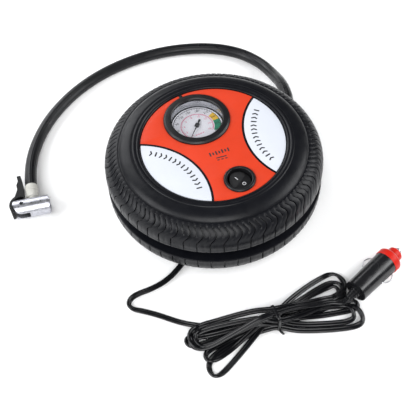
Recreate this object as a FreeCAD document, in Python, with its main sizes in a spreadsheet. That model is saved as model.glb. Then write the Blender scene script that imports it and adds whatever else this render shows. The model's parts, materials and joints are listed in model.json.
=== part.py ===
"""A 12 volt tyre-shaped air pump: body, motor, crank, piston, gauge, switch, hose and lead.

The frame has +Z up and its origin on the floor under the middle of the tyre. The switch lies
towards -Y and the gauge towards +Y. All lengths are in millimetres.
"""
import FreeCAD
import Part
import math
import os
import Sketcher

Vector = FreeCAD.Vector
X_AXIS = Vector(1, 0, 0)
Y_AXIS = Vector(0, 1, 0)
Z_AXIS = Vector(0, 0, 1)

SIZES = {
    # the tyre-shaped housing, in two halves each side of a groove for the hose
    "tyre_radius": 82.5, "mid_height": 30.3, "wall": 2.5, "drum_radius": 69.0,
    "groove_half": 6.3, "lip_half": 5.35, "tread_centre_radius": 67.3, "tread_half": 10.85,
    "border_radius": 71.5, "ring_outer_radius": 60.0,
    "ring_inner_radius": 56.0, "recess_radius": 54.4, "recess_half": 27.9,
    "sipe_count": 54, "sipe_width": 0.9, "sipe_depth": 1.0, "sipe_slant": 24.0,
    "post_radius": 4.0, "post_ring_radius": 57.0, "screw_radius": 1.5,
    # the coloured plates in the recess of the upper half
    "plate_radius": 54.0, "plate_thick": 0.8, "panel_centre_x": 75.0, "panel_centre_y": -23.5,
    "panel_arc_radius": 54.4, "panel_gap": 1.0, "plate_notch": 2.6,
    # the pressure gauge
    "gauge_y": 25.85, "bezel_radius": 25.4, "glass_radius": 20.9, "case_radius": 21.4,
    "case_wall": 1.0, "case_bottom": 36.0, "case_top": 57.4, "dial_radius": 19.6,
    "dial_height": 51.0, "spindle_radius": 0.8, "needle_length": 14.0, "needle_tail": 6.0,
    "gauge_tooth": 0.3, "gauge_pinion_teeth": 12, "gauge_sector_teeth": 96,
    "stem_radius": 4.0, "stem_bottom": 26.0,
    # the round rocker switch
    "switch_y": -40.0, "switch_bezel": 11.65, "switch_body": 10.0, "switch_cavity": 9.0,
    "switch_depth": 18.0, "rocker_radius": 8.0, "rocker_tilt": 10.0, "rocker_pin": 1.2,
    # motor, gears and crank
    "motor_radius": 13.85, "motor_length": 38.0, "motor_y": -4.0, "motor_z": 19.2,
    "shaft_radius": 1.15, "gear_tooth": 0.6, "pinion_teeth": 12, "gear_teeth": 60,
    "gear_width": 5.0, "gear_y": 15.2, "gear_z": 29.1, "gear_x": 22.2, "axle_radius": 2.5,
    "bracket_x": 16.0, "bracket_thick": 2.0, "crank_throw": 6.0, "crank_pin": 2.0,
    # piston, cylinder and head
    "cylinder_x": 35.2, "bore_radius": 8.0, "cylinder_radius": 10.0, "fin_radius": 12.0,
    "cylinder_length": 23.5, "cylinder_mouth_y": -4.8, "rod_length": 31.0, "rod_thick": 4.0,
    "wrist_radius": 1.8, "piston_fit": 0.05, "gasket_thick": 0.8, "head_depth": 9.0,
    "head_half": 12.0, "valve_radius": 2.2, "head_screw": 1.3, "head_screw_half": 9.5,
    # hose, gland and valve chuck
    "hose_radius": 4.75, "gland_radius": 5.7, "chuck_radius": 7.5, "chuck_length": 28.5,
    "chuck_end_radius": 7.0, "lever_pivot": -6.3, "ferrule_radius": 5.2, "ferrule_length": 11.7,
    "mouth_radius": 4.1, "cam_radius": 4.9, "lever_pin": 1.5, "running_fit": 0.05,
    # lead, hank and plug
    "cord_radius": 1.9, "grommet_radius": 3.0, "hank_height": 10.5,
    "barrel_tail_radius": 8.5, "barrel_front_radius": 9.1, "barrel_length": 33.5,
    "cap_radius": 9.5, "cap_flange": 6.3, "nose_radius": 5.6, "nose_length": 6.7,
    "tip_radius": 2.6, "fuse_radius": 3.0, "fuse_length": 30.0,
}

doc = FreeCAD.newDocument("TyrePump")
sheet = doc.addObject("Spreadsheet::Sheet", "Sizes")
for row, (alias, amount) in enumerate(SIZES.items(), 1):
    sheet.set(f"A{row}", alias)
    sheet.set(f"B{row}", str(amount))
    sheet.setAlias(f"B{row}", alias)
doc.recompute()


def number(amount):
    return amount.value if isinstance(amount, Length) else float(amount)


class Length:
    """A size that knows its value and the sheet formula that it comes from."""

    def __init__(self, value, formula):
        self.value = float(value)
        self.formula = formula

    def joined(self, other, sign, value, swap=False):
        text = other.formula if isinstance(other, Length) else repr(float(other))
        pair = (text, self.formula) if swap else (self.formula, text)
        return Length(value, f"({pair[0]} {sign} {pair[1]})")

    def __add__(self, other):
        return self.joined(other, "+", self.value + number(other))

    def __radd__(self, other):
        return self.joined(other, "+", self.value + number(other), swap=True)

    def __sub__(self, other):
        return self.joined(other, "-", self.value - number(other))

    def __rsub__(self, other):
        return self.joined(other, "-", number(other) - self.value, swap=True)

    def __mul__(self, other):
        return self.joined(other, "*", self.value * number(other))

    __rmul__ = __mul__

    def __truediv__(self, other):
        return self.joined(other, "/", self.value / number(other))

    def __neg__(self):
        return Length(-self.value, f"(0 - {self.formula})")


class Sheet:
    """The driving sizes, read as attributes."""

    def __getattr__(self, alias):
        return Length(sheet.get(alias), f"Sizes.{alias}")


S = Sheet()
NODES = {}


def point(x, y, z):
    return Vector(number(x), number(y), number(z))


def bind(piece, **sizes):
    """Tie each property to its sheet formula, or set it when it is a plain number."""
    for name, amount in sizes.items():
        if isinstance(amount, Length):
            piece.setExpression(name, amount.formula)
        else:
            setattr(piece, name, float(amount))


def placed(at, along=Z_AXIS):
    return FreeCAD.Placement(point(*at), FreeCAD.Rotation(Z_AXIS, along))


def cylinder(name, radius, height, at=(0, 0, 0), along=Z_AXIS):
    piece = doc.addObject("Part::Cylinder", name)
    bind(piece, Radius=radius, Height=height)
    piece.Placement = placed(at, along)
    return piece


def cone(name, radius, end_radius, height, at=(0, 0, 0), along=Z_AXIS):
    piece = doc.addObject("Part::Cone", name)
    bind(piece, Radius1=radius, Radius2=end_radius, Height=height)
    piece.Placement = placed(at, along)
    return piece


def box(name, low, high):
    """A box between two corners."""
    piece = doc.addObject("Part::Box", name)
    sides = [b - a if isinstance(b, Length) or isinstance(a, Length) else b - a
             for a, b in zip(low, high)]
    bind(piece, Length=sides[0], Width=sides[1], Height=sides[2])
    piece.Placement = placed(low)
    return piece


def fused(name, pieces):
    piece = doc.addObject("Part::MultiFuse", name)
    piece.Shapes = pieces
    return piece


def common(name, pieces):
    piece = doc.addObject("Part::MultiCommon", name)
    piece.Shapes = pieces
    return piece


def cut(name, base, tools):
    piece = doc.addObject("Part::Cut", name)
    piece.Base = base
    piece.Tool = tools[0] if len(tools) == 1 else fused(name + "Tools", tools)
    return piece


def group(name, pieces):
    """Several separate solids, such as identical screws, in one sub-part."""
    piece = doc.addObject("Part::Compound", name)
    piece.Links = pieces
    return piece


def drawn(name, shape):
    """A shape made with Part's own functions, for what no primitive or sketch gives."""
    piece = doc.addObject("Part::Feature", name)
    piece.Shape = shape
    return piece


def corner_constraints(sketch, corners):
    """Hold every corner by its two distances from the origin, each tied to the sheet."""
    links = []
    for i, corner in enumerate(corners):
        for kind, axis, amount in (("DistanceX", -2, corner[0]), ("DistanceY", -1, corner[1])):
            if abs(number(amount)) < 1e-9:
                sketch.addConstraint(Sketcher.Constraint("PointOnObject", i, 1, axis))
                continue
            index = sketch.addConstraint(Sketcher.Constraint(kind, -1, 1, i, 1, number(amount)))
            if isinstance(amount, Length):
                links.append((index, amount.formula))
    for index, formula in links:
        sketch.setExpression(f"Constraints[{index}]", formula)


def outline_body(name, plane_role, corners):
    """A PartDesign body with one closed, straight-sided sketch on an origin plane."""
    body = doc.addObject("PartDesign::Body", name)
    sketch = body.newObject("Sketcher::SketchObject", name + "Outline")
    plane = [item for item in body.Origin.OriginFeatures if item.Role == plane_role][0]
    sketch.AttachmentSupport = (plane, [""])
    sketch.MapMode = "FlatFace"
    spots = [point(x, y, 0) for x, y in corners]
    following = spots[1:] + spots[:1]
    for start, end in zip(spots, following):
        sketch.addGeometry(Part.LineSegment(start, end), False)
    count = len(spots)
    for i in range(count):
        sketch.addConstraint(Sketcher.Constraint("Coincident", i, 2, (i + 1) % count, 1))
    corner_constraints(sketch, corners)
    return body, sketch


def turned(name, corners, at=(0, 0, 0), along=Z_AXIS):
    """A body of revolution about Z from (radius, height) corners."""
    body, sketch = outline_body(name, "XZ_Plane", corners)
    turn = body.newObject("PartDesign::Revolution", name + "Turn")
    turn.Profile = sketch
    turn.ReferenceAxis = (sketch, ["V_Axis"])
    turn.Angle = 360
    body.Placement = placed(at, along)
    return body


def prism(name, corners, height, at=(0, 0, 0), plane_role="XY_Plane"):
    """A straight-sided plate from (x, y) corners."""
    body, sketch = outline_body(name, plane_role, corners)
    pad = body.newObject("PartDesign::Pad", name + "Pad")
    pad.Profile = sketch
    bind(pad, Length=height)
    body.Placement = placed(at)
    return body


def node(name, piece, frame=None):
    """Name a finished sub-part, and carry it from its own frame into the pump's."""
    if frame is not None:
        piece.Placement = frame.multiply(piece.Placement)
    piece.Label = name
    NODES[name] = piece
    return piece


# ---------------------------------------------------------------- routes and tubes

def rounded_route(points, share=0.45):
    """Straight runs joined by arcs as large as the two runs beside each corner allow."""
    spots = [point(*p) for p in points]
    edges = []
    radii = []
    start = spots[0]
    for before, corner, after in zip(spots, spots[1:], spots[2:]):
        back = (before - corner).normalize()
        ahead = (after - corner).normalize()
        half_turn = (math.pi - back.getAngle(ahead)) / 2
        reach = share * min((before - corner).Length, (after - corner).Length)
        radius = reach / math.tan(half_turn)
        inward = (back + ahead).normalize()
        middle = corner + inward * (radius / math.cos(half_turn) - radius)
        arc_start = corner + back * reach
        arc_end = corner + ahead * reach
        edges.append(Part.LineSegment(start, arc_start).toShape())
        edges.append(Part.Arc(arc_start, middle, arc_end).toShape())
        radii.append(radius)
        start = arc_end
    edges.append(Part.LineSegment(start, spots[-1]).toShape())
    return Part.Wire(edges), radii


def tube_shape(name, points, radius):
    """A round solid along a route; its volume is compared with section times length."""
    route, radii = rounded_route(points)
    first = (point(*points[1]) - point(*points[0])).normalize()
    ring = Part.Circle(point(*points[0]), first, number(radius)).toShape()
    solid = route.makePipeShell([Part.Wire([ring])], True, False)
    ratio = solid.Volume / (math.pi * number(radius) ** 2 * route.Length)
    print(f"{name}: length {route.Length:.1f}, least radius {min(radii):.1f}, volume ratio {ratio:.4f}")
    print("   radii", [round(r, 1) for r in radii])
    return solid


def spring_shape(pitch, height, radius, half_wire):
    """A coil spring of square wire, wound up from the origin."""
    helix = Part.makeHelix(pitch, height, radius)
    near, far = radius - half_wire, radius + half_wire
    corners = ((near, -half_wire), (far, -half_wire), (far, half_wire), (near, half_wire))
    wire = Part.makePolygon([Vector(x, 0, z) for x, z in corners + corners[:1]])
    return Part.Wire(helix.Edges).makePipeShell([wire], True, True)


# ---------------------------------------------------------------- the housing

def tyre_outline(side, inset):
    """The tread and sidewall line of one half, from the lip to the ring, as edges.

    side is 1 for the upper half and -1 for the lower; inset moves the line inwards.
    """
    def spot(radius, half):
        return Vector(number(radius), 0, number(S.mid_height) + side * number(half))

    tread_radius = number(S.tyre_radius) - number(S.tread_centre_radius)
    centre = (number(S.tread_centre_radius), number(S.tread_half))
    border_turn = math.asin((number(S.border_radius) - centre[0]) / tread_radius)
    reach = tread_radius - inset

    def on_tread(turn):
        return spot(centre[0] + reach * math.cos(turn), centre[1] + reach * math.sin(turn))

    end_turn = math.pi / 2 - border_turn
    lip = spot(S.tyre_radius - inset, S.lip_half + 0.7)
    foot = on_tread(0)
    border = on_tread(end_turn)
    ring = spot(S.ring_outer_radius, S.mid_height - inset)
    bulge = spot(66.1, 28.75 - inset)
    return [
        Part.LineSegment(lip, foot).toShape(),
        Part.Arc(foot, on_tread(end_turn / 2), border).toShape(),
        Part.Arc(border, bulge, ring).toShape(),
    ]


def tyre_half_shape(side):
    """One hollow half of the tyre: tread, sidewall, recessed disc and groove wall."""
    def spot(radius, half):
        return Vector(number(radius), 0, number(S.mid_height) + side * number(half))

    outer = tyre_outline(side, 0.0)
    inner = tyre_outline(side, number(S.wall))
    inner_foot = inner[0].Vertexes[0].Point
    inner_ring = inner[2].Vertexes[1].Point
    lip = outer[0].Vertexes[0].Point
    ring = outer[2].Vertexes[1].Point
    tops = [ring, spot(S.ring_inner_radius + 1.4, S.mid_height),
            spot(S.ring_inner_radius + 0.8, S.mid_height - 0.5),
            spot(S.ring_inner_radius, S.mid_height - 0.2),
            spot(S.recess_radius, S.mid_height - 0.8), spot(S.recess_radius, S.recess_half),
            spot(0, S.recess_half), spot(0, S.recess_half - S.wall),
            spot(S.ring_outer_radius - S.wall, S.recess_half - S.wall), inner_ring]
    groove = [Vector(inner_foot.x, 0, spot(0, S.groove_half + S.wall).z),
              spot(S.drum_radius - S.wall, S.groove_half + S.wall),
              spot(S.drum_radius - S.wall, S.groove_half), spot(S.drum_radius, S.groove_half),
              spot(S.tyre_radius - 0.6, S.lip_half), lip]
    edges = list(outer)
    edges += [Part.LineSegment(a, b).toShape() for a, b in zip(tops, tops[1:])]
    edges += [inner[2], inner[1]]
    foot = inner[1].Vertexes[0].Point
    groove = [foot] + groove
    edges += [Part.LineSegment(a, b).toShape() for a, b in zip(groove, groove[1:])]
    face = Part.Face(Part.Wire(Part.__sortEdges__(edges)))
    solid = face.revolve(Vector(0, 0, 0), Z_AXIS, 360)
    return solid.cut(sipes_shape(side))


def sipes_shape(side):
    """The slanted sipes round the tread of one half, as one cutting shape."""
    depth = number(S.sipe_depth)
    outside = tyre_outline(side, -1.0)[1]
    bottom = tyre_outline(side, depth)[1]
    ends = zip(outside.Vertexes, bottom.Vertexes)
    sides = [Part.LineSegment(a.Point, b.Point).toShape() for a, b in ends]
    band = Part.Face(Part.Wire(Part.__sortEdges__([outside, bottom] + sides)))
    half_width = number(S.sipe_width) / 2
    band.translate(Vector(0, -half_width, 0))
    slab = band.extrude(Vector(0, 2 * half_width, 0))
    pivot = Vector(number(S.tyre_radius), 0, number(S.mid_height) + side * 17.0)
    slab.rotate(pivot, X_AXIS, side * number(S.sipe_slant))
    count = int(number(S.sipe_count))
    copies = []
    for i in range(count):
        copy = slab.copy()
        copy.rotate(Vector(0, 0, 0), Z_AXIS, 360.0 * i / count)
        copies.append(copy)
    return Part.makeCompound(copies)


POST_TURNS = (75, 150, 240, 300)


def post_spots():
    ring = number(S.post_ring_radius)
    turns = [math.radians(turn) for turn in POST_TURNS]
    return [(ring * math.cos(turn), ring * math.sin(turn)) for turn in turns]


# where the hose leaves the groove, and where the lead leaves the lower sidewall
GLAND_MOUTH = Vector(71.0, 7.0, number(S.mid_height))
GLAND_AIM = Vector(13.5, 21.0, 0).normalize()
GROMMET_MOUTH = Vector(-52.5, -49.3, 3.9)
GROMMET_AIM = Vector(-0.895, -0.41, -0.17).normalize()


def make_housing():
    plate_top = S.mid_height + S.recess_half
    floor_top = S.mid_height - S.recess_half + S.wall
    roof = S.mid_height + S.recess_half - S.wall
    upper_posts = [cylinder("UpperPost", S.post_radius, roof - S.mid_height,
                            at=(x, y, S.mid_height)) for x, y in post_spots()]
    lower_posts = [cylinder("LowerPost", S.post_radius, S.mid_height - floor_top,
                            at=(x, y, floor_top)) for x, y in post_spots()]
    upper = fused("UpperShellBody", [drawn("UpperTyre", tyre_half_shape(1))] + upper_posts)
    lower = fused("LowerShellBody", [drawn("LowerTyre", tyre_half_shape(-1))] + lower_posts)
    screw_holes = [cylinder("ScrewHole", S.screw_radius, 12, at=(x, y, S.mid_height))
                   for x, y in post_spots()]
    gauge_hole = cylinder("GaugeHole", S.case_radius + 0.4, 8, at=(0, S.gauge_y, roof - 2))
    switch_hole = cylinder("SwitchHole", S.switch_body + 0.1, 8, at=(0, S.switch_y, roof - 2))
    node("upper_shell", cut("UpperShell", upper, screw_holes + [gauge_hole, switch_hole]))

    screw_ways = [cylinder("ScrewWay", S.screw_radius + 0.3, S.mid_height, at=(x, y, 0))
                  for x, y in post_spots()]
    screw_heads = [cylinder("HeadWay", 3.0, 14, at=(x, y, 0)) for x, y in post_spots()]
    lead_hole = cylinder("LeadHole", S.grommet_radius, 24, at=GROMMET_MOUTH + GROMMET_AIM * 8,
                         along=-GROMMET_AIM)
    node("lower_shell", cut("LowerShell", lower, screw_ways + screw_heads + [lead_hole]))

    wall_outside = cylinder("DrumOutside", S.drum_radius, 2 * S.groove_half,
                            at=(0, 0, S.mid_height - S.groove_half))
    wall_inside = cylinder("DrumInside", S.drum_radius - S.wall, 2 * S.groove_half,
                           at=(0, 0, S.mid_height - S.groove_half))
    gland_hole = cylinder("GlandHole", S.gland_radius, 40, at=GLAND_MOUTH - GLAND_AIM * 26,
                          along=GLAND_AIM)
    node("groove_drum", cut("GrooveDrum", wall_outside, [wall_inside, gland_hole]))

    screws = []
    for x, y in post_spots():
        head = cylinder("ScrewHead", 2.8, 2.2, at=(x, y, 11.8))
        shank = cylinder("ScrewShank", S.screw_radius, 27.0, at=(x, y, 14.0))
        screws.append(fused("ShellScrew", [head, shank]))
    node("shell_screws", group("ShellScrews", screws))
    return plate_top


def panel_lens(name, side, arc_radius, disc_radius, height, z):
    """The lens between the disc's edge and an arc that bulges towards the middle."""
    disc = cylinder(name + "Disc", disc_radius, height, at=(0, 0, z))
    arc = cylinder(name + "Arc", arc_radius, height,
                   at=(side * S.panel_centre_x, S.panel_centre_y, z))
    return common(name, [disc, arc])


def make_plates(z):
    blank = cylinder("PlateBlank", S.plate_radius, S.plate_thick, at=(0, 0, z))
    tools = [cylinder("PanelGap", S.panel_arc_radius + S.panel_gap, 4,
                      at=(side * S.panel_centre_x, S.panel_centre_y, z - 1)) for side in (-1, 1)]
    tools.append(cylinder("PlateGaugeHole", S.case_radius + 0.6, 4, at=(0, S.gauge_y, z - 1)))
    tools.append(cylinder("PlateSwitchHole", S.switch_body + 0.1, 4, at=(0, S.switch_y, z - 1)))
    tools.append(box("PlateNotch", (-0.5 * S.plate_notch, S.gauge_y, z - 1),
                     (0.5 * S.plate_notch, S.plate_radius + 2, z + 3)))
    node("orange_plate", cut("OrangePlate", blank, tools))
    for side, label in ((-1, "left"), (1, "right")):
        lens = panel_lens(label.title() + "Panel", side, S.panel_arc_radius, S.plate_radius - 0.4,
                          S.plate_thick, z)
        node(label + "_panel", lens)


# ---------------------------------------------------------------- toothed wheels

def gear_outline(teeth, module, phase, first=0, last=None):
    """Points round a toothed wheel; a sector has only the teeth from first to last."""
    pitch = module * teeth / 2
    step = 2 * math.pi / teeth
    profile = ((-0.36, -1.25), (-0.22, 0.0), (-0.10, 0.9), (0.10, 0.9), (0.22, 0.0),
               (0.36, -1.25))
    points = []
    for i in range(first, teeth if last is None else last + 1):
        for share, height in profile:
            turn = phase + (i + share) * step
            radius = pitch + height * module
            points.append(Vector(radius * math.cos(turn), radius * math.sin(turn), 0))
    return points


def toothed(points, width, bore):
    face = Part.Face(Part.makePolygon(points + points[:1]))
    hole = Part.makeCylinder(bore, width)
    return face.extrude(Vector(0, 0, width)).cut(hole)


# ---------------------------------------------------------------- the pressure gauge

GAUGE_ZERO = 223.0      # direction of the needle at rest, degrees from +X
NEEDLE_THICK = 0.4


def make_gauge(plate_top):
    frame = placed((0, S.gauge_y, 0))
    ring = turned("GaugeBezel", [
        (S.glass_radius - 1.5, plate_top + 0.95), (S.glass_radius + 0.05, plate_top + 0.95),
        (S.glass_radius + 0.05, S.case_top), (S.case_radius + 0.35, S.case_top),
        (S.case_radius + 0.35, plate_top), (S.bezel_radius, plate_top),
        (S.bezel_radius, plate_top + 0.5), (S.bezel_radius - 1.6, plate_top + 2.0),
        (S.glass_radius - 0.7, plate_top + 2.2), (S.glass_radius - 1.5, plate_top + 1.6)])
    tab = box("BezelTab", (-1.2, S.bezel_radius - 0.5, plate_top - S.plate_thick),
              (1.2, S.plate_radius - S.gauge_y, plate_top + 0.3))
    node("gauge_bezel", fused("BezelWithTab", [ring, tab]), frame)
    lens = cylinder("Glass", S.glass_radius, 1.1, at=(0, 0, plate_top - 0.15))
    node("gauge_glass", lens, frame)

    outside = cylinder("CaseOutside", S.case_radius, S.case_top - S.case_bottom,
                       at=(0, 0, S.case_bottom))
    inside = cylinder("CaseInside", S.case_radius - S.case_wall, 30,
                      at=(0, 0, S.case_bottom + S.case_wall))
    node("gauge_case", cut("GaugeCase", outside, [inside]), frame)
    disc = cylinder("DialDisc", S.dial_radius, 0.6, at=(0, 0, S.dial_height - 0.6))
    spindle_hole = cylinder("SpindleHole", S.spindle_radius + 0.6, 3, at=(0, 0, S.dial_height - 2))
    node("gauge_dial", cut("Dial", disc, [spindle_hole]), frame)

    blade = prism("NeedleBlade", [
        (-S.needle_tail, -0.9), (-1.5, -0.45), (S.needle_length, -0.12),
        (S.needle_length, 0.12), (-1.5, 0.45), (-S.needle_tail, 0.9)], NEEDLE_THICK,
        at=(0, 0, S.dial_height + 1.2))
    hub = box("NeedleHub", (-1.6, -1.6, S.dial_height + 1.0), (1.6, 1.6, S.dial_height + 2.0))
    spindle = cylinder("Spindle", S.spindle_radius, 7.2, at=(0, 0, S.dial_height - 6.0))

    # the pinion on the needle's spindle, the sector that drives it and the plate that holds both
    module = number(S.gauge_tooth)
    small = int(number(S.gauge_pinion_teeth))
    large = int(number(S.gauge_sector_teeth))
    spacing = module * (small + large) / 2
    layer = number(S.dial_height) - 4.6
    pinion_phase = math.pi / small - math.pi / 2 - math.radians(GAUGE_ZERO)
    pinion = toothed(gear_outline(small, module, pinion_phase), 1.2, 0.5 * number(S.spindle_radius))
    pinion.translate(Vector(0, 0, layer))
    needle = fused("Needle", [blade, hub, spindle, drawn("GaugePinion", pinion)])
    turn = FreeCAD.Rotation(Z_AXIS, GAUGE_ZERO)
    needle_frame = frame.multiply(FreeCAD.Placement(Vector(0, 0, 0), turn))
    node("gauge_needle", needle, needle_frame)
    teeth = gear_outline(large, module, math.pi / 2, first=-10, last=1)
    sector = toothed([Vector(0, 0, 0)] + teeth, 0.8, 0.01)
    sector = sector.fuse(Part.makeCylinder(2.0, 0.8)).cut(Part.makeCylinder(0.85, 0.8))
    sector.translate(Vector(0, -spacing, layer + 0.2))
    node("gauge_sector", drawn("GaugeSector", sector), frame)
    plate = box("MovementPlate", (-5, -18.5, layer - 2.2), (5, 5, layer - 1.2))
    stud = cylinder("SectorStud", 0.8, 3.4, at=(0, -spacing, layer - 1.6))
    foot = cylinder("MovementFoot", 2.0, layer - 2.2 - 37.0, at=(0, -12.0, 37.0))
    post_hole = cylinder("PlateSpindleHole", S.spindle_radius + 0.2, 4, at=(0, 0, layer - 3))
    node("gauge_movement", cut("Movement", fused("MovementBody", [plate, stud, foot]),
                               [post_hole]), frame)

    sweep = Part.makeTorus(15.5, 1.7, Vector(0, 0, number(S.case_bottom) + 4.0), Z_AXIS, 0, 360, 250)
    sweep.rotate(Vector(0, 0, 0), Z_AXIS, -60)
    node("bourdon_tube", drawn("BourdonTube", sweep), frame)
    stem = cylinder("Stem", S.stem_radius, S.case_bottom - S.stem_bottom, at=(0, 0, S.stem_bottom))
    barb = cylinder("StemBarb", 1.6, 8.0, at=(0, 0, 29.1), along=-X_AXIS)
    node("gauge_stem", fused("GaugeStem", [stem, barb]), frame)


# ---------------------------------------------------------------- the rocker switch

def make_switch(plate_top):
    frame = FreeCAD.Placement(point(0, S.switch_y, 0), FreeCAD.Rotation(Z_AXIS, 28.0))
    pivot = plate_top - 4.4
    flange = turned("SwitchFlange", [
        (S.switch_cavity, plate_top), (S.switch_bezel, plate_top),
        (S.switch_bezel, plate_top + 0.8), (S.switch_bezel - 1.0, plate_top + 1.8),
        (S.switch_cavity, plate_top + 1.8)])
    barrel = cylinder("SwitchBarrel", S.switch_body, S.switch_depth,
                      at=(0, 0, plate_top - S.switch_depth))
    cavity = cylinder("SwitchCavity", S.switch_cavity, 12, at=(0, 0, pivot - 3.8))
    pin_holes = cylinder("PinHoles", S.rocker_pin + S.running_fit, 2 * S.switch_cavity + 1.4,
                         at=(-S.switch_cavity - 0.7, 0, pivot), along=X_AXIS)
    node("switch_housing", cut("SwitchHousing", fused("SwitchBody", [flange, barrel]),
                               [cavity, pin_holes]), frame)

    wedge = prism("RockerWedge", [
        (-8.0, 3.6), (0, 2.3), (8.0, 3.6), (8.0, 0.4), (3.0, -2.8), (-3.0, -2.8), (-8.0, 0.4)],
        20, plane_role="YZ_Plane")
    wedge.Placement = placed((-10, 0, 0))
    round_stock = cylinder("RockerRound", S.rocker_radius, 10, at=(0, 0, -5))
    pins = cylinder("RockerPins", S.rocker_pin, 2 * S.switch_cavity + 1.0,
                    at=(-S.switch_cavity - 0.5, 0, 0), along=X_AXIS)
    rocker = fused("Rocker", [common("RockerBlock", [wedge, round_stock]), pins])
    tilt = FreeCAD.Placement(point(0, 0, pivot), FreeCAD.Rotation(X_AXIS, number(S.rocker_tilt)))
    node("switch_rocker", rocker, frame.multiply(tilt))
    bottom = plate_top - S.switch_depth
    blades = [box("Blade", (x - 0.4, -2.4, bottom - 8.0), (x + 0.4, 2.4, bottom))
              for x in (-4.0, 4.0)]
    node("switch_terminals", group("SwitchTerminals", blades), frame)


# ---------------------------------------------------------------- motor, gears and crank

def make_motor():
    """The motor lies along +X, its front face against the bracket."""
    start = S.bracket_x - S.motor_length
    frame = placed((0, S.motor_y, S.motor_z))
    outside = cylinder("CanOutside", S.motor_radius, S.motor_length, at=(start, 0, 0), along=X_AXIS)
    inside = cylinder("CanInside", S.motor_radius - 1.0, S.motor_length - 1.0,
                      at=(start - 1, 0, 0), along=X_AXIS)
    shaft_hole = cylinder("CanHole", S.shaft_radius + S.running_fit, 50, at=(start, 0, 0),
                          along=X_AXIS)
    back_part = cylinder("CanBack", S.motor_radius - 1.0, 2, at=(start - 2, 0, 0), along=X_AXIS)
    node("motor_can", cut("MotorCan", outside, [inside, shaft_hole, back_part]), frame)
    cap = cylinder("EndCapDisc", S.motor_radius - 1.0, 3.0, at=(start, 0, 0), along=X_AXIS)
    boss = cylinder("EndCapBoss", 5.0, 3.0, at=(start - 3, 0, 0), along=X_AXIS)
    cap_hole = cylinder("EndCapHole", S.shaft_radius + S.running_fit, 12, at=(start - 4, 0, 0),
                        along=X_AXIS)
    end_cap = cut("MotorEndCap", fused("EndCapBody", [cap, boss]), [cap_hole])
    tabs = [box("MotorTab", (start - 6, y - 1.5, -0.3), (start, y + 1.5, 0.3)) for y in (-8.5, 8.5)]
    node("motor_endcap", group("EndCapWithTabs", [end_cap] + tabs), frame)
    magnets = []
    for side in (-1, 1):
        ring = cut("MagnetRing",
                   cylinder("MagnetOut", S.motor_radius - 1.1, 26, at=(start + 6, 0, 0), along=X_AXIS),
                   [cylinder("MagnetIn", 10.2, 26, at=(start + 6, 0, 0), along=X_AXIS)])
        slab = box("MagnetSide", (start, -14, 4.5 if side > 0 else -14),
                   (S.bracket_x, 14, 14 if side > 0 else -4.5))
        magnets.append(common("Magnet", [ring, slab]))
    node("motor_magnets", group("MotorMagnets", magnets), frame)
    shaft_reach = S.gear_x + S.gear_width + 1
    shaft = cylinder("MotorShaft", S.shaft_radius, shaft_reach - start + 4, at=(start - 4, 0, 0),
                     along=X_AXIS)
    core = cylinder("ArmatureCore", 9.6, 22, at=(start + 8, 0, 0), along=X_AXIS)
    core_hole = cylinder("ArmatureHole", S.shaft_radius, 30, at=(start + 4, 0, 0), along=X_AXIS)
    armature = cut("Armature", core, [core_hole])
    node("motor_rotor", group("MotorRotor", [shaft, armature]), frame)


def make_gears():
    module = number(S.gear_tooth)
    small = int(number(S.pinion_teeth))
    large = int(number(S.gear_teeth))
    width = number(S.gear_width)
    across = number(S.gear_y) - number(S.motor_y)
    up = number(S.gear_z) - number(S.motor_z)
    mesh_turn = math.atan2(up, across)
    along_x = FreeCAD.Rotation(Y_AXIS, Z_AXIS, X_AXIS, "ZXY")
    print(f"gear centres {math.hypot(across, up):.3f} apart, pitch radii sum {module * (small + large) / 2}")
    pinion = toothed(gear_outline(small, module, mesh_turn + math.pi / small), width,
                     number(S.shaft_radius))
    pinion_frame = FreeCAD.Placement(point(S.gear_x, S.motor_y, S.motor_z), along_x)
    node("motor_pinion", drawn("MotorPinion", pinion), pinion_frame)
    wheel = toothed(gear_outline(large, module, mesh_turn + math.pi), width,
                    number(S.axle_radius) + number(S.running_fit))
    for turn in (60, 120, 180, 240, 300):
        turn = math.radians(turn)
        hole = Part.makeCylinder(3.0, width, Vector(11 * math.cos(turn), 11 * math.sin(turn), 0))
        wheel = wheel.cut(hole)
    # the crank pin ends just short of the rod's eye: the linkage is opened at this pivot
    pin_reach = S.cylinder_x - S.rod_thick / 2 - 0.3 - S.gear_x
    crank_pin = cylinder("CrankPin", S.crank_pin, pin_reach, at=(S.crank_throw, 0, 0))
    wheel_frame = FreeCAD.Placement(point(S.gear_x, S.gear_y, S.gear_z), along_x)
    node("crank_gear", fused("CrankGear", [drawn("GearWheel", wheel), crank_pin]), wheel_frame)

    stud = cylinder("AxleStud", S.axle_radius, S.gear_width + 5.6,
                    at=(S.bracket_x + S.bracket_thick, S.gear_y, S.gear_z), along=X_AXIS)
    stud_foot = cylinder("AxleFoot", 4.0, 1.6, at=(S.bracket_x + S.bracket_thick, S.gear_y, S.gear_z),
                         along=X_AXIS)
    clip = cylinder("AxleClipDisc", 4.0, 0.8, at=(S.gear_x + S.gear_width + 0.3, S.gear_y, S.gear_z),
                    along=X_AXIS)
    clip_hole = cylinder("AxleClipHole", S.axle_radius, 3, at=(S.gear_x + S.gear_width, S.gear_y,
                         S.gear_z), along=X_AXIS)
    axle = fused("GearAxle", [stud, stud_foot])
    node("gear_axle", group("AxleWithClip", [axle, cut("AxleClip", clip, [clip_hole])]))


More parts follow.
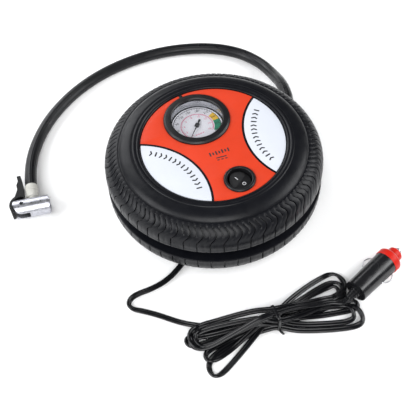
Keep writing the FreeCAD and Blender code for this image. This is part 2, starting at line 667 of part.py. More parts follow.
def make_bracket():
    left = S.bracket_x
    right = S.bracket_x + S.bracket_thick
    motor_plate = box("MotorPlate", (left, -18, 6), (right, 10, 34.5))
    gear_plate = box("GearPlate", (left, 0, 20), (right, 24, 34.9))
    shelf_y = S.cylinder_mouth_y
    shelf = box("CylinderShelf", (left, shelf_y - 2, 16), (S.cylinder_x + 12.5, shelf_y, 42.5))
    shaft_hole = cylinder("BracketShaftHole", 3.0, 6, at=(left - 2, S.motor_y, S.motor_z), along=X_AXIS)
    bore = cylinder("ShelfBore", S.cylinder_radius, 12, at=(S.cylinder_x, 4, S.gear_z), along=-Y_AXIS)
    pinion_way = box("PinionWay", (right, shelf_y - 4, 14), (S.gear_x + 6, shelf_y + 2, 25))
    plates = fused("BracketPlates", [motor_plate, gear_plate, shelf])
    node("bracket", cut("Bracket", plates, [shaft_hole, bore, pinion_way]))


OUTLET_AIM = Vector(1, 1, 0).normalize()


def make_piston_and_cylinder():
    x = S.cylinder_x
    z = S.gear_z
    mouth = S.cylinder_mouth_y
    top = mouth - S.cylinder_length
    sleeve = cylinder("Sleeve", S.cylinder_radius, S.cylinder_length, at=(x, mouth, z), along=-Y_AXIS)
    fins = [cylinder("Fin", S.fin_radius, 1.2, at=(x, mouth - 4.5 - 3.2 * i, z), along=-Y_AXIS)
            for i in range(6)]
    bore = cylinder("Bore", S.bore_radius, 40, at=(x, mouth + 1, z), along=-Y_AXIS)
    node("cylinder", cut("Cylinder", fused("FinnedSleeve", [sleeve] + fins), [bore]))

    wrist_y = S.gear_y + S.crank_throw - S.rod_length
    crown = cylinder("PistonStock", S.bore_radius - S.piston_fit, 10, at=(x, wrist_y + 4, z), along=-Y_AXIS)
    slot = box("RodSlot", (x - S.rod_thick / 2 - 0.3, wrist_y - 3.8, z - 6),
               (x + S.rod_thick / 2 + 0.3, wrist_y + 6, z + 6))
    ring_groove = cut("RingGroove",
                      cylinder("RingOut", 9, 1.6, at=(x, wrist_y - 3.6, z), along=-Y_AXIS),
                      [cylinder("RingIn", 6.6, 1.6, at=(x, wrist_y - 3.6, z), along=-Y_AXIS)])
    pin_way = cylinder("WristWay", S.wrist_radius, 30, at=(x - 15, wrist_y, z), along=X_AXIS)
    node("piston", cut("Piston", crown, [slot, ring_groove, pin_way]))
    seal = cut("PistonSeal",
               cylinder("SealOut", S.bore_radius - 0.02, 1.6, at=(x, wrist_y - 3.6, z), along=-Y_AXIS),
               [cylinder("SealIn", 6.6, 1.6, at=(x, wrist_y - 3.6, z), along=-Y_AXIS)])
    node("piston_seal", seal)
    wrist = cylinder("WristPin", S.wrist_radius, 14.4, at=(x - 7.2, wrist_y, z), along=X_AXIS)
    node("wrist_pin", wrist)

    low_x = x - S.rod_thick / 2
    big_y = wrist_y + S.rod_length
    big_end = cylinder("BigEnd", 4.5, S.rod_thick, at=(low_x, big_y, z), along=X_AXIS)
    small_end = cylinder("SmallEnd", 3.6, S.rod_thick, at=(low_x, wrist_y, z), along=X_AXIS)
    beam = box("RodBeam", (low_x, wrist_y, z - 2.2), (low_x + S.rod_thick, big_y, z + 2.2))
    eyes = [cylinder("BigEye", S.crank_pin + S.running_fit, 10, at=(low_x - 3, big_y, z), along=X_AXIS),
            cylinder("SmallEye", S.wrist_radius + S.running_fit, 10, at=(low_x - 3, wrist_y, z),
                     along=X_AXIS)]
    node("connecting_rod", cut("ConnectingRod", fused("RodBody", [big_end, small_end, beam]), eyes))

    gasket = box("GasketPlate", (x - S.head_half, top - S.gasket_thick, z - S.head_half),
                 (x + S.head_half, top, z + S.head_half))
    gasket_hole = cylinder("GasketHole", S.bore_radius, 6, at=(x, top + 2, z), along=-Y_AXIS)
    corners = [(dx * S.head_screw_half, dz * S.head_screw_half) for dx in (-1, 1) for dz in (-1, 1)]
    screw_ways = [cylinder("GasketScrewWay", S.head_screw, 6, at=(x + dx, top + 2, z + dz), along=-Y_AXIS)
                  for dx, dz in corners]
    node("head_gasket", cut("HeadGasket", gasket, [gasket_hole] + screw_ways))

    head_low = top - S.gasket_thick - S.head_depth
    block = box("HeadBlock", (x - S.head_half, head_low, z - S.head_half),
                (x + S.head_half, top - S.gasket_thick, z + S.head_half))
    hose_barb = cylinder("HoseBarb", 2.0, 8.0, at=(x + S.head_half - 2.4, head_low + 2.7, z),
                         along=OUTLET_AIM)
    gauge_barb = cylinder("GaugeBarb", 1.6, 4.0, at=(x - S.head_half, head_low + 4.5, z), along=-X_AXIS)
    chamber = cylinder("ValveChamber", S.valve_radius + 0.05, 6.5, at=(x, head_low + 1.5, z), along=Y_AXIS)
    seat_way = cylinder("SeatWay", 1.2, 10, at=(x, head_low + 4, z), along=Y_AXIS)
    cross_way = cylinder("CrossWay", 1.0, 40, at=(x - 18, head_low + 4.5, z), along=X_AXIS)
    head_ways = [cylinder("HeadScrewWay", S.head_screw, 30, at=(x + dx, top + 5, z + dz), along=-Y_AXIS)
                 for dx, dz in corners]
    head = fused("HeadBody", [block, hose_barb, gauge_barb])
    node("cylinder_head", cut("CylinderHead", head, [chamber, seat_way, cross_way] + head_ways))
    valve_body = cylinder("ValveDisc", S.valve_radius, 2.0, at=(x, head_low + 6.0, z), along=Y_AXIS)
    node("outlet_valve", valve_body)
    spring_frame = placed((x, head_low + 1.8, z), Y_AXIS)
    node("valve_spring", drawn("ValveSpring", spring_shape(1.0, 3.9, 1.5, 0.2)), spring_frame)

    screws = []
    for dx, dz in corners:
        shank = cylinder("HeadShank", S.head_screw, S.head_depth + S.gasket_thick,
                         at=(x + dx, top, z + dz), along=-Y_AXIS)
        button = cylinder("HeadButton", 2.3, 1.6, at=(x + dx, head_low, z + dz), along=-Y_AXIS)
        screws.append(fused("HeadScrew", [shank, button]))
    node("head_screws", group("HeadScrews", screws))
    return head_low


def make_inner_lines(head_low):
    """The two air tubes and the wires inside the housing."""
    x = number(S.cylinder_x)
    z = number(S.gear_z)
    y = number(head_low) + 4.5
    half = number(S.head_half)
    inner = GLAND_MOUTH - GLAND_AIM * 12.0
    bend = inner - GLAND_AIM * 12.0
    barb_end = Vector(x + half - 2.4, y - 1.8, z) + OUTLET_AIM * 8.1
    outlet = [tuple(barb_end), tuple(barb_end + OUTLET_AIM * 7.0), tuple(bend), tuple(inner)]
    outlet_tube = drawn("OutletTube", tube_shape("outlet_tube", outlet, 2.0))
    gauge_line = [(x - half - 4.1, y, z), (2, y, z), (-20, y + 6, z), (-33, -8, z), (-31, 13, z),
                  (-20, number(S.gauge_y), z), (-8.1, number(S.gauge_y), z)]
    gauge_tube = drawn("GaugeTube", tube_shape("gauge_tube", gauge_line, 1.6))
    node("air_tubes", group("AirTubes", [outlet_tube, gauge_tube]))
    lead_in = GROMMET_MOUTH - GROMMET_AIM * 14.8
    wires = [
        [tuple(lead_in + Vector(0, 0.9, 0)), (-30.5, -37, 9), (-29.5, -24, 14), (-28.9, -12.8, 19.2)],
        [tuple(lead_in - Vector(0, 0.9, 0)), (-31, -42, 11), (-16, -43, 20), (-3.6, -42.0, 31.2)],
        [(3.6, -38.0, 31.2), (2.0, -38.6, 19), (-7, -33.5, 11), (-20, -23.5, 10), (-29.5, -12, 10),
         (-30.5, 0, 12.5), (-28.9, 4.5, 19.2)],
    ]
    solids = [tube_shape("wire", wire, 0.7) for wire in wires]
    node("wires", drawn("Wires", Part.makeCompound(solids)))


# ---------------------------------------------------------------- hose and valve chuck

CHUCK_CENTRE = Vector(-135.3, 51.0, number(S.chuck_radius))
CHUCK_AXIS = Vector(0.961, -0.276, 0).normalize()
CHUCK_SIDE = Vector(-CHUCK_AXIS.y, CHUCK_AXIS.x, 0)
HOSE_OFFSET = 1.8
FERRULE_START = 8.6

# hose centreline from the gland to the ferrule; the last corner lies straight behind the ferrule
HOSE_END = (CHUCK_CENTRE + CHUCK_AXIS * HOSE_OFFSET
            + CHUCK_SIDE * (FERRULE_START + number(S.ferrule_length)))
HOSE_LAST_CORNER = HOSE_END + CHUCK_SIDE * 14.5
HOSE_ROUTE = [
    tuple(GLAND_MOUTH), (84.5, 28.0, 30.3), (94.0, 53.0, 24.0), (100.2, 79.5, 10.5), (100.2, 100.0, 6.2),
    (92.5, 119.5, 4.8), (76.5, 136.5, 4.8), (54.0, 149.6, 4.8), (28.0, 158.3, 4.8), (-1.0, 161.4, 4.8),
    (-31.0, 158.8, 4.8), (-61.0, 149.0, 4.8), (-89.0, 131.8, 4.8), (-110.5, 109.0, 5.2),
    tuple(HOSE_LAST_CORNER), tuple(HOSE_END),
]


def make_hose():
    gland_frame = placed(tuple(GLAND_MOUTH), GLAND_AIM)
    gland = turned("Gland", [
        (0, -12.0), (S.gland_radius - 1.6, -12.0), (S.gland_radius, -10.0), (S.gland_radius, -2.0),
        (S.gland_radius - 0.6, 0), (0, 0)])
    node("hose_gland", gland, gland_frame)
    node("air_hose", drawn("AirHose", tube_shape("air_hose", HOSE_ROUTE, S.hose_radius)))


def make_chuck():
    frame = FreeCAD.Placement(CHUCK_CENTRE, FreeCAD.Rotation(CHUCK_AXIS, CHUCK_SIDE, Z_AXIS, "ZXY"))
    half = S.chuck_length / 2
    pivot = S.lever_pivot
    stock = cylinder("ChuckStock", S.chuck_radius, S.chuck_length, at=(-half, 0, 0), along=X_AXIS)
    round_end = cylinder("ChuckRoundEnd", S.chuck_end_radius, 20, at=(pivot, 0, -10))
    keep = box("ChuckKeep", (pivot, -10, -10), (half, 10, 10))
    body = common("ChuckBlank", [stock, fused("ChuckKeepAll", [round_end, keep])])
    tools = [
        cylinder("ChuckBore", 6.0, 20, at=(5.0, 0, 0), along=X_AXIS),
        box("ChuckSlot", (-half - 4, -10, -2.7), (-1.0, 10, 2.7)),
        cylinder("PinBore", S.lever_pin, 20, at=(pivot, 0, -10)),
        cylinder("StemBore", 3.2, 12, at=(HOSE_OFFSET, 4.0, 0), along=Y_AXIS),
        cylinder("CoreBore", 1.5, 8, at=(-0.5, 0, 0), along=X_AXIS),
    ]
    node("chuck_body", cut("ChuckBody", body, tools), frame)
    reach = 5.4
    node("lever_pin", cylinder("LeverPin", S.lever_pin, 2 * reach, at=(pivot, 0, -reach)), frame)

    washer = cylinder("GasketOut", 6.0, 3.4, at=(8.4, 0, 0), along=X_AXIS)
    way = cylinder("GasketIn", S.mouth_radius, 10, at=(6, 0, 0), along=X_AXIS)
    node("chuck_gasket", cut("ChuckGasket", washer, [way]), frame)
    collar = cylinder("CollarOut", 6.0, 2.9, at=(11.8, 0, 0), along=X_AXIS)
    collar_way = cylinder("CollarIn", S.mouth_radius, 10, at=(9, 0, 0), along=X_AXIS)
    node("chuck_collar", cut("ChuckCollar", collar, [collar_way]), frame)
    core_disc = cylinder("CoreDisc", 6.0, 1.2, at=(5.0, 0, 0), along=X_AXIS)
    core_pin = cylinder("CorePin", 1.0, 3.2, at=(5.0, 0, 0), along=X_AXIS)
    core_shank = cylinder("CoreShank", 1.5, 5.5, at=(-0.5, 0, 0), along=X_AXIS)
    node("chuck_core", fused("ChuckCore", [core_disc, core_pin, core_shank]), frame)

    ferrule = cylinder("FerruleSleeve", S.ferrule_radius, S.ferrule_length,
                       at=(HOSE_OFFSET, FERRULE_START, 0), along=Y_AXIS)
    stem = cylinder("FerruleStem", 3.2, FERRULE_START - 4.0, at=(HOSE_OFFSET, 4.0, 0), along=Y_AXIS)
    node("hose_ferrule", fused("HoseFerrule", [ferrule, stem]), frame)

    lever_frame = frame.multiply(placed((pivot, 0, 0)))
    cam = cylinder("LeverCam", S.cam_radius, 5.0, at=(0, 0, -2.5))
    web = prism("LeverWeb", [(0, -3.4), (-8.6, -3.4), (-8.6, 3.4), (0, 4.6)], 5.0, at=(0, 0, -2.5))
    heel_out = cylinder("HeelOut", 9.6, 12.4, at=(0, 0, -6.2))
    heel_in = cylinder("HeelIn", S.chuck_end_radius + 0.4, 20, at=(0, 0, -10))
    heel_zone = prism("HeelZone", [(0.6, 7.0), (0.6, 14), (-14, 14), (-14, -7.1), (-6.2, -3.1),
                                   (-3.5, 5.0)], 20, at=(0, 0, -10))
    heel = common("LeverHeel", [cut("HeelRing", heel_out, [heel_in]), heel_zone])
    arm = prism("LeverArm", [(-6.4, 7.0), (1.8, 8.2), (2.1, 20.5), (0.9, 30.5), (-2.2, 30.5),
                             (-1.6, 25.4), (-3.1, 21.4), (-2.7, 17.0)], 7.0, at=(0, 0, -3.5))
    pin_hole = cylinder("LeverPinHole", S.lever_pin + S.running_fit, 20, at=(0, 0, -10))
    lever = cut("ChuckLever", fused("LeverBody", [cam, web, heel, arm]), [pin_hole])
    node("chuck_lever", lever, lever_frame)


# ---------------------------------------------------------------- lead, hank, tie and plug

PLUG_TAIL = Vector(41.2, -135.4, number(S.cap_radius))
PLUG_AIM = Vector(0.962, 0.274, 0).normalize()

LEAD_ROUTE = [
    tuple(GROMMET_MOUTH), (-62.3, -53.8, 2.05), (-73.5, -57.4, 2.0), (-84.5, -58.0, 2.0),
    (-94.5, -56.8, 2.0), (-101.0, -57.6, 2.0), (-105.0, -61.6, 2.0), (-103.4, -66.8, 2.0),
    (-97.4, -71.8, 2.0), (-88.6, -80.8, 2.0), (-80.4, -90.8, 2.0), (-73.4, -97.4, 2.0),
]

# the hank's outer shape in plan: two fans of loops, narrow where the tie holds them
HANK_OUTLINE = [
    (-71.0, -98.6), (-80.0, -101.6), (-86.4, -108.5), (-81.0, -117.5), (-79.4, -127.0),
    (-81.0, -138.5), (-74.0, -144.8), (-60.0, -141.6), (-42.0, -133.5), (-20.0, -132.0),
    (-8.0, -136.5), (2.0, -148.5), (14.0, -159.5), (30.0, -160.5), (38.5, -150.5),
    (36.5, -141.0), (34.6, -130.0), (43.0, -127.0), (44.0, -117.0), (37.0, -107.5), (22.0, -109.0),
    (4.0, -117.5), (-20.0, -118.5), (-38.0, -107.5), (-54.0, -101.0),
]
TIE_CENTRE = Vector(-19.4, -125.2, 0)
TIE_TURN = -6.0


def hank_shape():
    """The hank's outline with rounded corners, raised to the height of its stacked turns."""
    loop = HANK_OUTLINE + HANK_OUTLINE[:2]
    edges = []
    first = None
    start = None
    for before, corner, after in zip(loop, loop[1:], loop[2:]):
        corner = point(*corner, 0)
        back = point(*before, 0) - corner
        ahead = point(*after, 0) - corner
        reach = 0.45 * min(back.Length, ahead.Length)
        arc_start = corner + back.normalize() * reach
        arc_end = corner + ahead.normalize() * reach
        half_turn = (math.pi - back.getAngle(ahead)) / 2
        radius = reach / math.tan(half_turn)
        middle = corner + (back + ahead).normalize() * (radius / math.cos(half_turn) - radius)
        if start is not None:
            edges.append(Part.LineSegment(start, arc_start).toShape())
        else:
            first = arc_start
        edges.append(Part.Arc(arc_start, middle, arc_end).toShape())
        start = arc_end
    edges.append(Part.LineSegment(start, first).toShape())
    face = Part.Face(Part.Wire(edges))
    return face.extrude(Vector(0, 0, number(S.hank_height)))


def make_lead():
    grommet = turned("Grommet", [
        (0, -14.0), (S.grommet_radius, -14.0), (S.grommet_radius, -1.0), (S.grommet_radius - 0.5, 0),
        (0, 0)])
    node("lead_grommet", grommet, placed(tuple(GROMMET_MOUTH), GROMMET_AIM))
    node("power_lead", drawn("PowerLead", tube_shape("power_lead", LEAD_ROUTE, S.cord_radius)))

    tie_frame = FreeCAD.Placement(TIE_CENTRE, FreeCAD.Rotation(Z_AXIS, TIE_TURN))
    tie_out = box("TieOut", (-0.9, -8.0, 0), (0.9, 8.0, S.hank_height + 1.2))
    tie_in = box("TieIn", (-2, -7.0, 1.0), (2, 7.0, S.hank_height + 0.2))
    tail = box("TieTail", (-0.9, -12.0, 0.3), (0.9, -7.5, 1.9))
    node("hank_tie", fused("HankTie", [cut("TieBand", tie_out, [tie_in]), tail]), tie_frame)

    relief_space = cylinder("ReliefSpace", 5.0, 12, at=PLUG_TAIL - PLUG_AIM * 9.0, along=PLUG_AIM)
    plug_space = cylinder("PlugSpace", S.cap_radius + 0.6, 60, at=PLUG_TAIL - PLUG_AIM * 0.6,
                          along=PLUG_AIM)
    waist = box("WaistSpace", (-0.95, -14, -1), (0.95, 14, 20))
    waist_keep = box("WaistKeep", (-1.4, -6.9, 1.1), (1.4, 6.9, S.hank_height + 0.1))
    waist_cut = cut("WaistCut", waist, [waist_keep])
    waist_cut.Placement = tie_frame
    hank = cut("Hank", drawn("HankBlank", hank_shape()), [relief_space, plug_space, waist_cut])
    node("lead_hank", hank)


def make_plug():
    up = Z_AXIS
    side = up.cross(PLUG_AIM)
    frame = FreeCAD.Placement(PLUG_TAIL, FreeCAD.Rotation(side, up, PLUG_AIM, "ZXY"))
    length = S.barrel_length
    relief = turned("Relief", [(0, -9.0), (2.6, -9.0), (4.2, 0), (0, 0)])
    node("plug_relief", relief, frame)

    shell = cone("BarrelStock", S.barrel_tail_radius, S.barrel_front_radius, length)
    fuse_way = cylinder("FuseWay", S.fuse_radius + 0.3, length, at=(0, 0, 5.0))
    slots = [box("SpringSlot", (3.9 if sign > 0 else -12.0, -0.75, 17.4),
                 (12.0 if sign > 0 else -3.9, 0.75, 31.0)) for sign in (-1, 1)]
    node("plug_barrel", cut("PlugBarrel", shell, [fuse_way] + slots), frame)
    for sign, label in ((-1, "left"), (1, "right")):
        wire = Part.makeTorus(6.0, 0.45, Vector(0, 0, 0), Z_AXIS, 0, 360, 150)
        wire.rotate(Vector(0, 0, 0), Z_AXIS, -75 if sign > 0 else 105)
        wire.rotate(Vector(0, 0, 0), X_AXIS, 90)
        wire.translate(Vector(sign * 5.9, 0, 24.2))
        node(label + "_side_spring", drawn(label.title() + "SideSpring", wire), frame)

    cap = turned("Cap", [
        (S.tip_radius + 0.1, length), (S.cap_radius, length), (S.cap_radius, length + 4.6),
        (S.cap_radius - 1.1, length + S.cap_flange), (S.nose_radius, length + S.cap_flange),
        (S.nose_radius, length + S.cap_flange + S.nose_length - 1.6),
        (S.nose_radius - 1.8, length + S.cap_flange + S.nose_length),
        (S.tip_radius + 0.1, length + S.cap_flange + S.nose_length)])
    inner_way = cylinder("CapFuseWay", S.fuse_radius + 0.3, 9.0, at=(0, 0, length - 1))
    node("plug_cap", cut("PlugCap", cap, [inner_way]), frame)
    tip_low = 10.0 + S.fuse_length
    tip = turned("Tip", [(0, tip_low), (S.tip_radius, tip_low), (S.tip_radius, length + 14.8),
                         (S.tip_radius - 1.2, length + 16.3), (0, length + 16.3)])
    node("plug_tip", tip, frame)
    fuse = cylinder("Fuse", S.fuse_radius, S.fuse_length, at=(0, 0, 10.0))
    node("plug_fuse", fuse, frame)
    coil = spring_shape(1.1, 4.1, 2.2, 0.22)
    coil.translate(Vector(0, 0, 5.4))
    node("fuse_spring", drawn("FuseSpring", coil), frame)


def check_and_export():
    doc.recompute()
    failed = [item.Label for item in doc.Objects if "Invalid" in item.State or "Error" in item.State]
    if failed:
        raise RuntimeError(f"failed objects: {failed}")
    for name, piece in NODES.items():
        if piece.Shape.isNull() or not piece.Shape.isValid() or piece.Shape.Volume <= 0:
            raise RuntimeError(f"bad shape: {name}")
    os.makedirs("parts", exist_ok=True)
    for name, piece in NODES.items():
        piece.Shape.exportStep(f"parts/{name}.step")
        solids = len(piece.Shape.Solids)
        print(f"{name}: {solids} solid(s), {piece.Shape.Volume / 1000:.3f} cm3")
    print(len(NODES), "sub-parts")


disc_top = make_housing()
make_plates(disc_top)
face_top = disc_top + S.plate_thick
make_gauge(face_top)
make_switch(face_top)
make_motor()
make_gears()
make_bracket()
head_bottom = make_piston_and_cylinder()
make_inner_lines(head_bottom)
make_hose()
make_chuck()
make_lead()
make_plug()
check_and_export()
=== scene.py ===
"""Looks of the tyre-shaped 12 volt air pump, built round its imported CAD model.

Everything is in metres in the pump's own frame: +Z up, the origin on the floor under its middle,
the switch towards -Y and the gauge towards +Y.
"""
import json
import math

import bmesh
import bpy
import numpy as np
from mathutils import Matrix, Vector


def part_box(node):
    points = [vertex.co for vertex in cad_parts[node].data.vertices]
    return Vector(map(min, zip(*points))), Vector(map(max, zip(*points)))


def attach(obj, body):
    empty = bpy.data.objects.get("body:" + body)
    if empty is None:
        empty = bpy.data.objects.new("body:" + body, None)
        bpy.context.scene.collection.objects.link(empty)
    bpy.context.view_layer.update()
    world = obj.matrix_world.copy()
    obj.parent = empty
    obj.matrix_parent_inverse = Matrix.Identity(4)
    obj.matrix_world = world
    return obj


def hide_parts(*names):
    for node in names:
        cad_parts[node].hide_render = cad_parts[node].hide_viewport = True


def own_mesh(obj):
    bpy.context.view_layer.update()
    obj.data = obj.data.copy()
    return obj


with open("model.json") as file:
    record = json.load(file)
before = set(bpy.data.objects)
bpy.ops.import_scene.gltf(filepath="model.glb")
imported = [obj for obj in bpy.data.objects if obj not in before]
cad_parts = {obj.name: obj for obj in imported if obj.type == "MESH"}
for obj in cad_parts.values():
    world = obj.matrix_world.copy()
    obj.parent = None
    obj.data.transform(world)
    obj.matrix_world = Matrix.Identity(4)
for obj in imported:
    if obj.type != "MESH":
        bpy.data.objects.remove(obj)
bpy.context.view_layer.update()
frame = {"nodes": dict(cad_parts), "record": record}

MM = 0.001


# ------------------------ camera, floor and light

CAMERA_PLACE = Vector((-0.1775, -0.3529, 0.5245))
CAMERA_LOOK = Vector((0.2542, 0.5262, -0.8115)).normalized()
CAMERA_UP = Vector((0.3999, 0.7067, 0.5836)).normalized()
CAMERA_LENS = 71.25
SENSOR_WIDTH = 36.0


def facing(place, look, up):
    """The matrix of a camera or lamp that looks along look."""
    right = look.cross(up).normalized()
    top = right.cross(look)
    turn = Matrix((right, top, -look)).transposed().to_4x4()
    return Matrix.Translation(place) @ turn


def make_camera():
    data = bpy.data.cameras.new("camera")
    data.sensor_width = SENSOR_WIDTH
    data.lens = CAMERA_LENS
    data.clip_start = 0.02
    camera = bpy.data.objects.new("camera", data)
    bpy.context.scene.collection.objects.link(camera)
    camera.matrix_world = facing(CAMERA_PLACE, CAMERA_LOOK, CAMERA_UP)
    bpy.context.scene.camera = camera


make_camera()


# ------------------------ mesh helpers

def mesh_from(name, points, faces):
    mesh = bpy.data.meshes.new(name)
    mesh.from_pydata([tuple(p) for p in points], [], [tuple(f) for f in faces])
    shell = bmesh.new()
    shell.from_mesh(mesh)
    bmesh.ops.remove_doubles(shell, verts=shell.verts, dist=1e-7)
    bmesh.ops.recalc_face_normals(shell, faces=shell.faces)
    shell.to_mesh(mesh)
    shell.free()
    return mesh


def piece_of(name, mesh, slot, body="root", replaces=(), sharp=34, look=None):
    """One finished piece: smooth faces with sharp corners kept, its slot, body and finish."""
    mesh.shade_smooth()
    mesh.set_sharp_from_angle(angle=math.radians(sharp))
    mesh.materials.clear()
    mesh.materials.append(look or FINISHES[slot])
    piece = bpy.data.objects.new(name, mesh)
    bpy.context.scene.collection.objects.link(piece)
    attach(piece, body)
    if replaces:
        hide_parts(*replaces)
    return piece


def drilled(mesh, cutter):
    """The mesh with the cutter's closed solids taken away."""
    stock = bpy.data.objects.new("stock", mesh)
    tool = bpy.data.objects.new("tool", cutter)
    for made in (stock, tool):
        bpy.context.scene.collection.objects.link(made)
    cut = stock.modifiers.new("cut", "BOOLEAN")
    cut.operation = "DIFFERENCE"
    cut.solver = "EXACT"
    cut.object = tool
    evaluated = stock.evaluated_get(bpy.context.evaluated_depsgraph_get())
    result = bpy.data.meshes.new_from_object(evaluated)
    for made in (stock, tool):
        bpy.data.objects.remove(made)
    bpy.data.meshes.remove(cutter)
    return result


def softened(corners, steps=4):
    """Round the corners of a closed outline of (x, y, radius) into a list of (x, y)."""
    outline = []
    count = len(corners)
    for i, (x, y, radius) in enumerate(corners):
        here = Vector((x, y))
        if radius <= 0:
            outline.append((x, y))
            continue
        back = (Vector(corners[i - 1][:2]) - here).normalized()
        ahead = (Vector(corners[(i + 1) % count][:2]) - here).normalized()
        half = back.angle(ahead) / 2
        reach = radius / math.tan(half)
        start = here + back * reach
        end = here + ahead * reach
        for k in range(steps + 1):
            t = k / steps
            near = start.lerp(here, t).lerp(here.lerp(end, t), t)
            outline.append((near.x, near.y))
    return outline


def lathed(outline, columns=96):
    """Points and faces of a closed outline of (radius, height) turned about Z."""
    points = []
    rows = []
    for radius, height in outline:
        if radius < 1e-7:
            points.append((0.0, 0.0, height))
            rows.append([len(points) - 1] * columns)
            continue
        first = len(points)
        for c in range(columns):
            turn = 2 * math.pi * c / columns
            points.append((radius * math.cos(turn), radius * math.sin(turn), height))
        rows.append(list(range(first, first + columns)))
    faces = []
    for low, high in zip(rows, rows[1:] + rows[:1]):
        for c in range(columns):
            d = (c + 1) % columns
            face = [low[c], low[d], high[d], high[c]]
            face = [v for i, v in enumerate(face) if v != face[i - 1]]
            if len(set(face)) > 2:
                faces.append(face)
    return points, faces


def ring_faces(rows, count, closed=False):
    """Faces of a tube of rows of count points: closed on itself, or with its ends capped."""
    faces = []
    for i in range(rows if closed else rows - 1):
        j = (i + 1) % rows
        for k in range(count):
            m = (k + 1) % count
            faces.append((i * count + k, i * count + m, j * count + m, j * count + k))
    if not closed:
        faces.append(tuple(range(count)))
        faces.append(tuple((rows - 1) * count + k for k in reversed(range(count))))
    return faces


def moved(points, matrix):
    return [matrix @ Vector(p) for p in points]


def turned_mesh(name, corners, place=Matrix.Identity(4), columns=96):
    """A turned mesh from (radius, height, rounding) corners in millimetres."""
    outline = [(x * MM, y * MM) for x, y in softened(corners)]
    points, faces = lathed(outline, columns)
    return mesh_from(name, moved(points, place), faces)


def turned_piece(name, corners, slot, place=Matrix.Identity(4), columns=96, **rest):
    return piece_of(name, turned_mesh(name, corners, place, columns), slot, **rest)


def frame_at(place, axis, side=None):
    """A matrix whose Z is axis and whose X is side."""
    axis = Vector(axis).normalized()
    side = Vector(side) if side is not None else axis.orthogonal()
    side = (side - axis * side.dot(axis)).normalized()
    turn = Matrix((side, axis.cross(side), axis)).transposed().to_4x4()
    return Matrix.Translation(Vector(place)) @ turn


def arc(centre, radius, first, last, steps):
    """Points of a circle's arc between two directions in degrees, ends included."""
    turns = np.radians(np.linspace(first, last, steps))
    return [(centre[0] + radius * math.cos(t), centre[1] + radius * math.sin(t)) for t in turns]


def plate_mesh(name, outlines, low, high, rounding):
    """A flat plate from closed 2D outlines (the first is outside, the rest are holes)."""
    curve = bpy.data.curves.new(name, "CURVE")
    curve.dimensions = "2D"
    curve.fill_mode = "BOTH"
    for outline in outlines:
        spline = curve.splines.new("POLY")
        spline.points.add(len(outline) - 1)
        for spot, (x, y) in zip(spline.points, outline):
            spot.co = (x, y, 0.0, 1.0)
        spline.use_cyclic_u = True
    curve.bevel_depth = rounding
    curve.bevel_resolution = 2
    curve.offset = -rounding
    curve.extrude = (high - low) / 2 - rounding
    holder = bpy.data.objects.new(name, curve)
    mesh = bpy.data.meshes.new_from_object(holder)
    bpy.data.objects.remove(holder)
    bpy.data.curves.remove(curve)
    points = [v.co + Vector((0, 0, (low + high) / 2)) for v in mesh.vertices]
    faces = [tuple(p.vertices) for p in mesh.polygons]
    bpy.data.meshes.remove(mesh)
    return mesh_from(name, points, faces)


class Marks:
    """Thin solid printed marks of one colour, gathered into one piece."""

    def __init__(self, name, place, thick=0.05 * MM):
        self.name = name
        self.place = place
        self.thick = thick
        self.points = []
        self.faces = []

    def outline(self, spots):
        """A thin solid with a closed convex outline, given in millimetres."""
        first = len(self.points)
        count = len(spots)
        for height in (0.0, self.thick):
            self.points += [self.place @ Vector((x * MM, y * MM, height)) for x, y in spots]
        self.faces.append(tuple(first + i for i in reversed(range(count))))
        self.faces.append(tuple(first + count + i for i in range(count)))
        for i in range(count):
            j = (i + 1) % count
            self.faces.append((first + i, first + j, first + count + j, first + count + i))

    def bar(self, centre, direction, length, width):
        """A straight bar with rounded ends."""
        turn = math.degrees(math.atan2(direction[1], direction[0]))
        reach = (length - width) / 2
        along = Vector(direction).normalized() * reach
        ahead = (centre[0] + along.x, centre[1] + along.y)
        behind = (centre[0] - along.x, centre[1] - along.y)
        spots = arc(ahead, width / 2, turn - 90, turn + 90, 7)
        spots += arc(behind, width / 2, turn + 90, turn + 270, 7)
        self.outline(spots)

    def band(self, centre, inner, outer, first, last):
        """A stretch of a ring, as short convex pieces joined end to end."""
        steps = max(2, int(abs(last - first) / 4) + 1)
        edges = np.linspace(first, last, steps)
        start = len(self.points)
        for turn in np.radians(edges):
            for radius in (inner, outer):
                for height in (0.0, self.thick):
                    x = centre[0] + radius * math.cos(turn)
                    y = centre[1] + radius * math.sin(turn)
                    self.points.append(self.place @ Vector((x * MM, y * MM, height)))
        full = abs(abs(last - first) - 360) < 1e-6
        for i in range(steps - 1):
            a = start + 4 * i
            b = start + 4 * ((i + 1) % (steps - 1) if full else i + 1)
            self.faces += [(a, b, b + 1, a + 1), (a + 2, a + 3, b + 3, b + 2),
                           (a, a + 2, b + 2, b), (a + 1, b + 1, b + 3, a + 3)]
        if not full:
            end = start + 4 * (steps - 1)
            self.faces += [(start, start + 1, start + 3, start + 2),
                           (end, end + 2, end + 3, end + 1)]

    def figures(self, text, centre, size):
        """Figures of a dial, centred and upright."""
        data = bpy.data.curves.new(self.name, "FONT")
        data.body = text
        data.size = size * MM
        data.align_x = "CENTER"
        data.align_y = "CENTER"
        data.extrude = self.thick / 2
        data.resolution_u = 3
        holder = bpy.data.objects.new(self.name, data)
        mesh = bpy.data.meshes.new_from_object(holder)
        bpy.data.objects.remove(holder)
        bpy.data.curves.remove(data)
        shift = Vector((centre[0] * MM, centre[1] * MM, self.thick / 2))
        first = len(self.points)
        self.points += [self.place @ (v.co + shift) for v in mesh.vertices]
        self.faces += [tuple(first + v for v in p.vertices) for p in mesh.polygons]
        bpy.data.meshes.remove(mesh)

    def made(self, slot, look=None, body="root"):
        mesh = mesh_from(self.name, self.points, self.faces)
        return piece_of(self.name, mesh, slot, body, look=look)


# ------------------------ finishes

